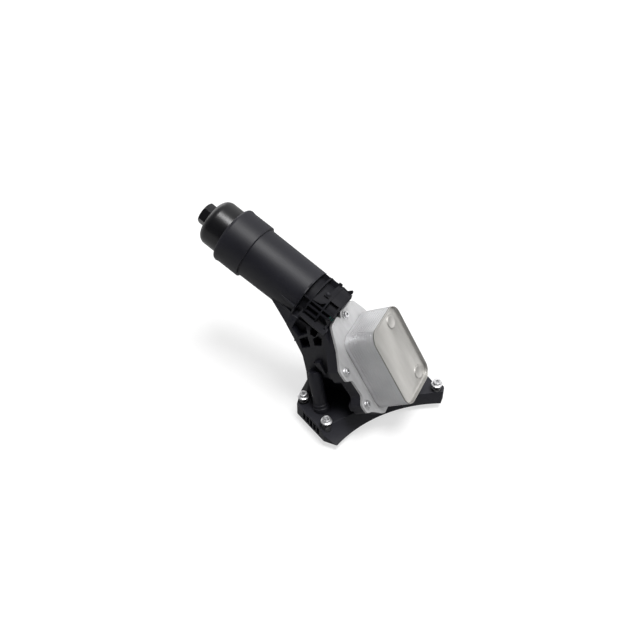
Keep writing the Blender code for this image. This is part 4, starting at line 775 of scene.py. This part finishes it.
def cut_flange(mesh):
    """Sleeve holes, seal grooves and the row of pockets along the near edge."""
    top = FLANGE_THICKNESS
    mesh = drilled(mesh, BOLT_PLACES[:1], BOLT_FLANGE_RADIUS + 1 * MM, top, top + 40 * MM)
    mesh = drilled(mesh, BOLT_PLACES, SLEEVE_RADIUS + SEAT, -REACH, top + REACH)
    for x, y, radius in ENGINE_PORTS:
        inner = radius + PORT_SEAL_WALL - SEAT
        outer = radius + PORT_SEAL_WALL + PORT_SEAL_WIDTH + SEAT
        low, high = -REACH, PORT_SEAL_HEIGHT + 2 * SEAT
        groove = turned_mesh([(outer, high), (outer, low), (inner, low), (inner, high)], SMALL_SEGMENTS)
        mesh = cut(mesh, groove, at(x, y))
    row = Vector(EDGE_ROW_END) - Vector(EDGE_ROW_START)
    pitch, direction, half_rib = row.length / EDGE_POCKETS, row.normalized(), EDGE_RIB_THICKNESS / 2
    edge = frame_from(EDGE_ROW_START, direction, Z_AXIS, direction.cross(Z_AXIS))
    for index in range(EDGE_POCKETS):
        low = (pitch * index + half_rib, EDGE_POCKET_BORDER, -EDGE_POCKET_DEPTH)
        high = (pitch * (index + 1) - half_rib, top - EDGE_POCKET_BORDER, 2 * REACH)
        mesh = cut(mesh, box_mesh(low, high), edge)
    return mesh


# Cooler, fasteners and cap

def gasket_seat_mesh(low, high):
    """Room for the gasket: four port rings, joined by bars, with a tab at the upper edge."""
    outer = COOLER_PORT_RADIUS + GASKET_LAND + 2 * SEAT
    half_bar = GASKET_BAR_WIDTH / 2 + SEAT
    ports = [Vector(place) for place in COOLER_PORTS]
    mesh = cylinder_mesh(outer, low, high, ports[0], 40)
    for port in ports[1:]:
        mesh = joined(mesh, cylinder_mesh(outer, low, high, port, 40))
    for start, end in (ports[:2], ports[2:]):
        bar = box_mesh((0, -half_bar, low), ((end - start).length, half_bar, high))
        turn = Matrix.Rotation(math.atan2(end.y - start.y, end.x - start.x), 4, "Z")
        mesh = joined(mesh, bar, at(*start) @ turn)
    side, tab = ports[3].x, GASKET_TAB_Y
    mesh = joined(mesh, box_mesh((side - half_bar, ports[0].y, low), (side + half_bar, ports[3].y, high)))
    tab_low = (GASKET_TAB_END - SEAT, tab - 2 * half_bar, low)
    return cleaned(joined(mesh, box_mesh(tab_low, (ports[0].x, tab + half_bar, high))))


def base_plate_mesh():
    mesh = outline_mesh(round_corners(BASE_PLATE_OUTLINE), -BASE_PLATE_THICKNESS, 0.0)
    mesh = drilled(mesh, SCREW_PLACES, SCREW_SHANK_RADIUS + SEAT, -10 * MM, REACH)
    mesh = drilled(mesh, COOLER_PORTS, COOLER_PORT_RADIUS, -10 * MM, REACH)
    return bevelled(cleaned(mesh), PLATE_EDGE)


def stack_outline(grow, height):
    """The stack's rounded rectangle, grown evenly, as points at a height."""
    flare = PLATE_RIM_FLARE * PLATE_RIM_HEIGHT
    half_length, half_width = STACK_LENGTH / 2 - flare + grow, STACK_WIDTH / 2 - flare + grow
    radius = STACK_CORNER_RADIUS - flare + grow
    points = []
    for corner, (side_x, side_y) in enumerate(((1, 1), (-1, 1), (-1, -1), (1, -1))):
        for step in range(STACK_CORNER_STEPS + 1):
            angle = math.pi / 2 * (corner + step / STACK_CORNER_STEPS)
            x = side_x * (half_length - radius) + radius * math.cos(angle)
            y = side_y * (half_width - radius) + radius * math.sin(angle)
            points.append((x, y, height))
    return points


def tray_mesh(gauge, rim_height):
    """A dished plate: a flat floor, a rounded foot and a rim that flares out to a rounded edge."""
    flare = PLATE_RIM_FLARE
    wall, top = gauge * math.sqrt(1 + flare ** 2), flare * rim_height
    foot, edge = 0.7 * MM, 0.3 * gauge
    return loft_mesh([stack_outline(grow, height) for grow, height in (
        (-foot, 0.0), (-0.3 * foot, 0.12 * foot), (flare * 0.8 * foot, 0.8 * foot),
        (top - flare * edge, rim_height - edge), (top - 0.3 * edge, rim_height - 0.3 * edge),
        (top - edge, rim_height), (top - wall + edge, rim_height), (top - wall, rim_height - edge),
        (flare * (gauge + foot) - wall, gauge + foot),
        (flare * gauge - wall - 0.35 * foot, gauge + 0.25 * foot), (flare * gauge - wall - foot, gauge),
    )])


def plate_mesh():
    mesh = tray_mesh(PLATE_GAUGE, PLATE_RIM_HEIGHT)
    to_stack = STACK.inverted() @ PAD
    places = [(to_stack @ Vector((x, y, 0.0))).xy for x, y in COOLER_PORTS]
    return drilled(mesh, places, COOLER_PORT_RADIUS, -REACH, REACH, segments=24)


def cover_mesh():
    """The front tray, with a pressed round boss at two of its corners."""
    floor, top = COVER_GAUGE / 2, COVER_GAUGE + EMBOSSING_HEIGHT
    # Reach beyond the boss's radius as a share of its height, and height
    rim = (
        (-3.4, top - 0.5 * MM), (-2.6, top - 0.1 * MM), (-2.2, top), (-1.3, top), (-0.9, top - 0.2 * MM),
        (-0.2, COVER_GAUGE + 0.25 * MM), (0.4, COVER_GAUGE), (0.4, floor),
    )
    profile = [(EMBOSSING_RADIUS + share * EMBOSSING_HEIGHT, height) for share, height in rim]
    mesh = tray_mesh(COVER_GAUGE, COVER_RIM_HEIGHT)
    for place in EMBOSSING_PLACES:
        boss = turned_mesh([(0.0, top - 0.5 * MM), *profile, (0.0, floor)], 64)
        mesh = joined(mesh, boss, at(*place))
    return mesh


def star_mesh(radius, low, high):
    """A prism with six round lobes, for a star drive."""
    outline = []
    for step in range(60):
        angle = 2 * math.pi * step / 60
        reach = radius * (0.86 + 0.14 * math.cos(6 * angle))
        outline.append((reach * math.cos(angle), reach * math.sin(angle)))
    return outline_mesh(outline, low, high)


def screw_mesh(shank, length, flange, head, height, recess, thread=0.0):
    """A flanged head with a star recess and, where asked, a threaded shank; its seat is at height 0."""
    rim = 0.25 * height
    profile = [(0.0, height - 0.2 * MM), (recess + 0.3 * MM, height - 0.2 * MM), (recess + 0.8 * MM, height)]
    profile += reversed(arc((head - 1.2 * MM, height - 1.2 * MM), 1.2 * MM, 0, 80, 5))
    profile += [
        (head, rim + 1.0 * MM), (head + 0.25 * MM, rim + 0.55 * MM), (head + 0.8 * MM, rim + 0.3 * MM),
        (flange - 0.5 * MM, rim - 0.1 * MM), (flange - 0.15 * MM, rim - 0.35 * MM),
        (flange, 0.5 * rim), (flange, 0.15 * MM), (flange - 0.2 * MM, 0.0), (shank, 0.0),
    ]
    if thread:
        pitch, root = THREAD_PITCH, shank - THREAD_DEPTH
        for turn in reversed(range(int(thread / pitch))):
            low = 1.5 * MM - length + turn * pitch
            profile += [(shank, low + pitch), (shank, low + 0.75 * pitch),
                        (root, low + 0.45 * pitch), (root, low + 0.35 * pitch)]
    profile += [(shank, 1.5 * MM - length), (shank - 1.0 * MM, -length), (0.0, -length)]
    mesh = turned_mesh(profile, 48)
    return cut(mesh, star_mesh(recess, 0.4 * height, height + REACH))


def sleeve_mesh():
    """The steel sleeve of a mounting bolt, with broken edges."""
    inner, outer, edge = BOLT_SHANK_RADIUS + SEAT, SLEEVE_RADIUS, 0.4 * MM
    high = FLANGE_THICKNESS + SLEEVE_STANDS_PROUD - SLEEVE_GAP
    return turned_mesh([
        (outer - edge, high), (outer, high - edge), (outer, edge), (outer - edge, 0.0),
        (inner + edge, 0.0), (inner, edge), (inner, high - edge), (inner + edge, high),
    ], 48)


def cap_mesh():
    thread, skirt = THREAD_BORE_RADIUS - SEAT, SEAL_BORE_RADIUS - SEAT
    groove, inner = skirt - 2 * O_RING_RADIUS - SEAT, skirt - CAP_SKIRT_WALL
    groove_high = CAP_GROOVE_LOW + 2 * O_RING_RADIUS + 2 * SEAT
    ceiling, socket = CAP_DOME_TOP - CAP_WALL, VALVE_RADIUS + SEAT
    socket_low = ceiling - VALVE_SOCKET_DEPTH
    centre = (CAP_DOME_RADIUS - CAP_DOME_ROUND, CAP_DOME_TOP - CAP_DOME_ROUND)
    profile = [(0.0, CAP_DOME_TOP), *reversed(arc(centre, CAP_DOME_ROUND, 0, 90, 24))]
    profile += [
        (CAP_DOME_RADIUS, CAP_FLANGE_TOP), (thread, CAP_FLANGE_TOP),
        (thread, CAP_THREAD_LOW), (skirt, CAP_THREAD_LOW), (skirt, groove_high), (groove, groove_high),
        (groove, CAP_GROOVE_LOW), (skirt, CAP_GROOVE_LOW), (skirt, CAP_SKIRT_LOW), (inner, CAP_SKIRT_LOW),
        (inner, CAP_THREAD_LOW), (CAP_DOME_RADIUS - CAP_WALL, CAP_FLANGE_TOP),
        *arc(centre, CAP_DOME_ROUND - CAP_WALL, 0, 90, 8),
        (socket + 2 * MM, ceiling), (socket + 2 * MM, socket_low),
        (socket, socket_low), (socket, ceiling), (0.0, ceiling),
    ]
    hexagon, chamfer = CAP_HEX_ACROSS_FLATS / math.sqrt(3), CAP_HEX_CHAMFER
    low, top = CAP_DOME_TOP - REACH, CAP_DOME_TOP + CAP_HEX_HEIGHT
    head = cylinder_mesh(hexagon, CAP_DOME_TOP - 1 * MM, top, segments=6)
    keep = turned_mesh([
        (0.0, top), (hexagon - 2 * chamfer, top),
        (hexagon + chamfer, top - 2 * chamfer), (hexagon + chamfer, low), (0.0, low),
    ], 96)
    head = bevelled(combined(head, keep, "INTERSECT"), MOULDED_EDGE)
    return cleaned(joined(turned_mesh(profile), head, spin(HEXAGON_TURN)))


def spring_mesh(low, high):
    """A wire coil between two heights, closed at its ends."""
    steps = 36 * SPRING_TURNS
    points = []
    for step in range(steps + 1):
        angle = 2 * math.pi * SPRING_TURNS * step / steps
        height = low + SPRING_WIRE + (high - low - 2 * SPRING_WIRE) * step / steps
        points.append((SPRING_RADIUS * math.cos(angle), SPRING_RADIUS * math.sin(angle), height))

    def work(shape):
        bmesh.ops.remove_doubles(shape, verts=shape.verts, dist=1e-6)
        bmesh.ops.recalc_face_normals(shape, faces=shape.faces)

    return curve_mesh(points, work, dimensions="3D", bevel_depth=SPRING_WIRE / 2, bevel_resolution=3,
                      use_fill_caps=True)


# Finishes

def fill(tree, node, settings):
    """Set a node's inputs and settings; an output of another node is linked."""
    for key, value in settings.items():
        if isinstance(value, bpy.types.NodeSocket):
            tree.links.new(value, node.inputs[key])
        elif isinstance(key, int) or key in node.inputs:
            node.inputs[key].default_value = value
        else:
            setattr(node, key, value)
    return node


def add_node(tree, kind, inputs=(), **settings):
    return fill(tree, tree.nodes.new(f"ShaderNode{kind}"), settings | dict(inputs))


def new_material(name, colour, roughness, metallic=0.0, specular=0.5):
    material = bpy.data.materials.new(name)
    material.use_nodes = True
    fill(material.node_tree, material.node_tree.nodes["Principled BSDF"], {
        "Base Color": (*colour, 1.0), "Roughness": roughness,
        "Metallic": metallic, "Specular IOR Level": specular,
    })
    return material


def noise(tree, scale, detail, stretch, turn):
    """Noise in object space, stretched along an axis."""
    place = add_node(tree, "TexCoord").outputs["Object"]
    vector = add_node(tree, "Mapping", Vector=place, Scale=stretch, Rotation=turn).outputs["Vector"]
    return add_node(tree, "TexNoise", Vector=vector, Scale=scale, Detail=detail).outputs["Fac"]


def ramp(tree, factor, stops):
    """A colour ramp between two stops (position, value or colour)."""
    node = add_node(tree, "ValToRGB", Fac=factor)
    for element, (position, value) in zip(node.color_ramp.elements, stops):
        element.position = position
        colour = value if isinstance(value, tuple) else (value, value, value)
        element.color = (*colour, 1.0)
    return node.outputs["Color"]


def varied(name, low, high, rough, scale, metallic=0.0, specular=0.5, grain=0.0,
           stretch=(1.0, 1.0, 1.0), turn=(0.0, 0.0, 0.0), edge=0.0):
    """A finish whose colour and roughness vary softly, with an optional fine grain and soft edges."""
    material = new_material(name, high, rough[1], metallic, specular)
    tree = material.node_tree
    cloud = noise(tree, scale, 4.0, stretch, turn)
    looks = {
        "Base Color": ramp(tree, cloud, ((0.3, low), (0.7, high))),
        "Roughness": ramp(tree, cloud, ((0.25, rough[0]), (0.75, rough[1]))),
    }
    relief = {}
    if edge:
        relief["Normal"] = add_node(tree, "Bevel", samples=6, Radius=edge).outputs["Normal"]
    if grain:
        fine = noise(tree, GRAIN_SCALE, 2.0, stretch, turn)
        bump = add_node(tree, "Bump", Strength=grain, Distance=GRAIN_HEIGHT, Height=fine, **relief)
        relief["Normal"] = bump.outputs["Normal"]
    fill(tree, tree.nodes["Principled BSDF"], looks | relief)
    return material


GRAIN_SCALE = 900.0
GRAIN_HEIGHT = 0.2 * MM

# Name, darkest and lightest colour, least and most roughness, scale of the variation
PLASTIC = varied("satin_black_moulding", (0.0082, 0.0082, 0.0130), (0.0122, 0.0122, 0.0185), (0.47, 0.56),
                 14.0, specular=0.42, grain=0.2, edge=0.6 * MM)
# Rougher copy of the moulding, also made darker and less specular as painted shade for the ribbed barrel
MATTE_SHADED_PLASTIC = varied("matte_black_moulding_painted_shade", (0.0075, 0.0075, 0.0105), (0.0115, 0.0115, 0.0155),
                       (0.58, 0.66), 14.0, specular=0.2, grain=0.3, edge=0.6 * MM)
GLOSS = varied("smooth_black_moulding", (0.004, 0.004, 0.005), (0.006, 0.006, 0.008), (0.27, 0.33),
               20.0, grain=0.05, edge=0.5 * MM)
INNER = varied("inner_moulding", (0.06, 0.06, 0.065), (0.09, 0.09, 0.1), (0.45, 0.55), 30.0)
ALU_BASE = varied("base_plate_aluminium", (0.52, 0.52, 0.525), (0.60, 0.60, 0.605), (0.54, 0.64),
                  25.0, metallic=0.5, grain=0.2, stretch=(1.0, 6.0, 1.0))
ALU_PLATE = varied("plate_aluminium", (0.76, 0.76, 0.77), (0.86, 0.86, 0.87), (0.46, 0.56),
                   30.0, metallic=1.0, grain=0.1)
ALU_COVER = varied("cover_aluminium", (0.47, 0.46, 0.44), (0.54, 0.53, 0.51), (0.44, 0.54),
                   18.0, metallic=1.0, grain=0.2, stretch=(1.0, 5.0, 1.0), turn=(0.0, 0.0, 0.7))
ZINC = varied("bright_zinc", (0.60, 0.60, 0.61), (0.74, 0.74, 0.75), (0.38, 0.48), 60.0, metallic=1.0)
SLEEVE = varied("sleeve_steel", (0.12, 0.12, 0.125), (0.20, 0.20, 0.205), (0.35, 0.5), 80.0, metallic=1.0)
SPRING = varied("spring_steel", (0.42, 0.42, 0.43), (0.52, 0.52, 0.53), (0.3, 0.4), 80.0, metallic=1.0)
GREEN = varied("green_seal_rubber", (0.0, 0.085, 0.065), (0.0, 0.125, 0.095), (0.6, 0.75),
               60.0, specular=0.25)
BLACK_RUBBER = varied("black_rubber", (0.008, 0.008, 0.008), (0.014, 0.014, 0.014), (0.6, 0.75), 60.0)
PAPER = varied("filter_paper", (0.55, 0.43, 0.24), (0.66, 0.54, 0.33), (0.85, 0.95), 40.0)

# Start of a node's name, its finish and the slot of the piece that replaces it
FINISHES = (
    ("filter_housing", PLASTIC, "black_plastic"),
    ("filter_cap", GLOSS, "gloss_plastic"),
    ("cap_o_ring", BLACK_RUBBER, None),
    ("filter_media", PAPER, None),
    (("cooler_gasket", "oil_", "coolant_"), GREEN, None),
    ("cooler_base_plate", ALU_BASE, "base_aluminium"),
    ("cooler_plate", ALU_PLATE, "plate_aluminium"),
    ("cooler_cover_plate", ALU_COVER, "cover_aluminium"),
    (("cooler_screw", "mounting_bolt"), ZINC, "zinc_steel"),
    ("bolt_sleeve", SLEEVE, "sleeve_steel"),
    ("bypass_valve_spring", SPRING, "spring_steel"),
    ("", INNER, None),
)


def finish_of(node):
    return next((finish, slot) for start, finish, slot in FINISHES if node.startswith(start))


def show(node, mesh, place=WORLD, body="housing"):
    """A finer piece that stands for a node and moves with its body."""
    finish, slot = finish_of(node)
    mesh.transform(place)
    mesh.materials.clear()
    mesh.materials.append(finish)
    mesh.shade_smooth()
    mesh.set_sharp_from_angle(angle=math.radians(30.0))
    piece = placed(f"{node}_look", mesh)
    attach(piece, body)
    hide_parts(node)
    return piece


for name, node in frame["nodes"].items():
    node.data.materials.clear()
    node.data.materials.append(finish_of(name)[0])

# The barrel above its shelf takes a rougher copy of the moulding that is also darker and less specular, as
# painted shade; the top of its plug keeps the regular finish
MATTE_SHADE_LOW = -BARREL_LENGTH - 4 * MM
MATTE_SHADE_UNDER = SHELF_HEIGHT - 0.3 * MM
PLUG_SHINE_LOW = BARREL_RIB_RADIUS + 1.7 * MM
PLUG_SHINE_REACH = 1.6 * PLUG_DOME_RADIUS
housing = show("filter_housing", housing_mesh())
housing.data.materials.append(MATTE_SHADED_PLASTIC)
from_bowl = BOWL.inverted()
plug_top = spin(PLUG_ANGLE) @ Vector((PLUG_TOP, 0.0, PLUG_PLACE))
for face in housing.data.polygons:
    place = from_bowl @ face.center
    on_plug = (place - plug_top).length < PLUG_SHINE_REACH and place.xy.length > PLUG_SHINE_LOW
    on_barrel = MATTE_SHADE_LOW < place.z < RIDGE_PLACE and place.y > MATTE_SHADE_UNDER
    if on_barrel and place.x > -BARREL_RIB_RADIUS and not on_plug:
        face.material_index = 1

show("filter_cap", cap_mesh(), BOWL, "cap")
spring_high = CAP_DOME_TOP - CAP_WALL - 2 * SEAT
spring_low = spring_high + SEAT - VALVE_LENGTH + 2 * MM + POPPET_THICKNESS + 2 * SEAT
spring = show("bypass_valve_spring", spring_mesh(spring_low, spring_high), BOWL, "cap")
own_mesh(spring)

show("cooler_base_plate", base_plate_mesh(), PAD)
plate = plate_mesh()
for index in range(PLATE_COUNT):
    show(f"cooler_plate_{index + 1:02d}", plate.copy(), STACK @ at(0, 0, SEAT + index * PLATE_PITCH))
show("cooler_cover_plate", cover_mesh(), STACK @ at(0, 0, SEAT + PLATE_COUNT * PLATE_PITCH))

screw = screw_mesh(SCREW_SHANK_RADIUS, SCREW_LENGTH, SCREW_FLANGE_RADIUS, SCREW_HEAD_RADIUS,
                   SCREW_HEAD_HEIGHT, SCREW_RECESS_RADIUS)
for index, (x, y) in enumerate(SCREW_PLACES):
    turn = Matrix.Rotation(SCREW_TURN * index, 4, "Z")
    show(f"cooler_screw_{index + 1}", screw.copy(), PAD @ at(x, y, SEAT) @ turn)
bolt = screw_mesh(BOLT_SHANK_RADIUS, BOLT_LENGTH, BOLT_FLANGE_RADIUS, BOLT_HEAD_RADIUS, BOLT_HEAD_HEIGHT,
                  BOLT_RECESS_RADIUS, BOLT_THREAD_LENGTH)
head_low = FLANGE_THICKNESS + SLEEVE_STANDS_PROUD + BOLT_STANDS_PROUD
for index, (x, y) in enumerate(BOLT_PLACES):
    turn = Matrix.Rotation(BOLT_TURN * index, 4, "Z")
    number = index + 1
    show(f"mounting_bolt_{number}", bolt.copy(), at(x, y, head_low) @ turn, f"bolt_{number}")
    show(f"bolt_sleeve_{number}", sleeve_mesh(), at(x, y))


# Stage

# Camera, fitted to the photo
CAMERA_PLACE = (0.3685, -0.9120, 1.1886)
CAMERA_FORWARD = (-0.265, 0.656, -0.707)
CAMERA_RIGHT = (0.927, 0.375, 0.0)
FOCAL_PIXELS = 950.0
PICTURE_PIXELS = 640.0
SENSOR_WIDTH = 36.0
# Floor and room
FLOOR_ALBEDO = 0.40
FLOOR_LIFT = 0.64
FLOOR_HALF = 30.0
FLOOR_HEIGHT = -12.5 * MM
ROOM_FRONT = 0.08
ROOM_BACK = 0.75
# Broad light from above, and two weak ones from the sides
KEY_DIRECTION = (0.21, -0.045, 0.975)
KEY_ANGLE = math.radians(24.0)
KEY_STRENGTH = 2.6
FILL_PLACES = {"fill_right": (1.35, 1.1, 0.5), "fill_left": (-1.35, 1.1, 0.6)}
FILL_AIM = Vector((-0.02, 0.05, 0.12))
FILL_POWER = 6.0


def build_floor():
    """Pale floor that the camera sees lighter than the object does."""
    material = new_material("pale_floor", (FLOOR_ALBEDO,) * 3, 0.9, 0.0, 0.0)
    tree = material.node_tree
    seen = add_node(tree, "LightPath").outputs["Is Camera Ray"]
    lift = add_node(tree, "Math", {0: seen, 1: FLOOR_LIFT}, operation="MULTIPLY")
    fill(tree, tree.nodes["Principled BSDF"], {
        "Emission Color": (1.0, 1.0, 1.0, 1.0), "Emission Strength": lift.outputs[0],
    })
    corners = ((-1, -1), (1, -1), (1, 1), (-1, 1))
    mesh = bpy.data.meshes.new("floor")
    mesh.from_pydata([(x * FLOOR_HALF, y * FLOOR_HALF, FLOOR_HEIGHT) for x, y in corners], [], [(0, 1, 2, 3)])
    mesh.materials.append(material)
    placed("floor", mesh)


def build_world():
    """White to the camera; to the object, a room that is dark in front and pale behind."""
    world = bpy.data.worlds.new("studio")
    SCENE.world = world
    world.use_nodes = True
    tree = world.node_tree
    path = add_node(tree, "LightPath").outputs
    rays = {0: path["Is Camera Ray"], 1: path["Is Transmission Ray"]}
    seen = add_node(tree, "Math", rays, operation="MAXIMUM").outputs[0]
    place = add_node(tree, "TexCoord").outputs["Generated"]
    depth = add_node(tree, "SeparateXYZ", Vector=place).outputs["Y"]
    room = add_node(tree, "MapRange", {
        "Value": depth, "From Min": -0.6, "From Max": 0.9, "To Min": ROOM_FRONT, "To Max": ROOM_BACK,
    }).outputs["Result"]
    strength = add_node(tree, "MapRange", {"Value": seen, "To Min": room, "To Max": 1.0}).outputs["Result"]
    fill(tree, tree.nodes["Background"], {"Color": (1.0, 1.0, 1.0, 1.0), "Strength": strength})


def add_light(name, kind, direction, axis, **settings):
    item = placed(name, configure(bpy.data.lights.new(name, kind), **settings))
    item.rotation_euler = direction.to_track_quat(axis, "Y").to_euler()
    return item


def build_camera():
    lens = SENSOR_WIDTH * FOCAL_PIXELS / PICTURE_PIXELS
    camera = configure(bpy.data.cameras.new("camera"), sensor_width=SENSOR_WIDTH, lens=lens,
                       clip_start=0.05, clip_end=50.0)
    forward, right = Vector(CAMERA_FORWARD).normalized(), Vector(CAMERA_RIGHT).normalized()
    SCENE.camera = placed("camera", camera, frame_from(CAMERA_PLACE, right, right.cross(forward), -forward))


build_world()
build_floor()
add_light("key_above", "SUN", Vector(KEY_DIRECTION), "Z", angle=KEY_ANGLE, energy=KEY_STRENGTH)
for name, place in FILL_PLACES.items():
    lamp = add_light(name, "AREA", FILL_AIM - Vector(place), "-Z",
                     shape="RECTANGLE", size=1.5, size_y=1.0, energy=FILL_POWER)
    lamp.location = place
build_camera()

SCENE.view_settings.view_transform = "Standard"
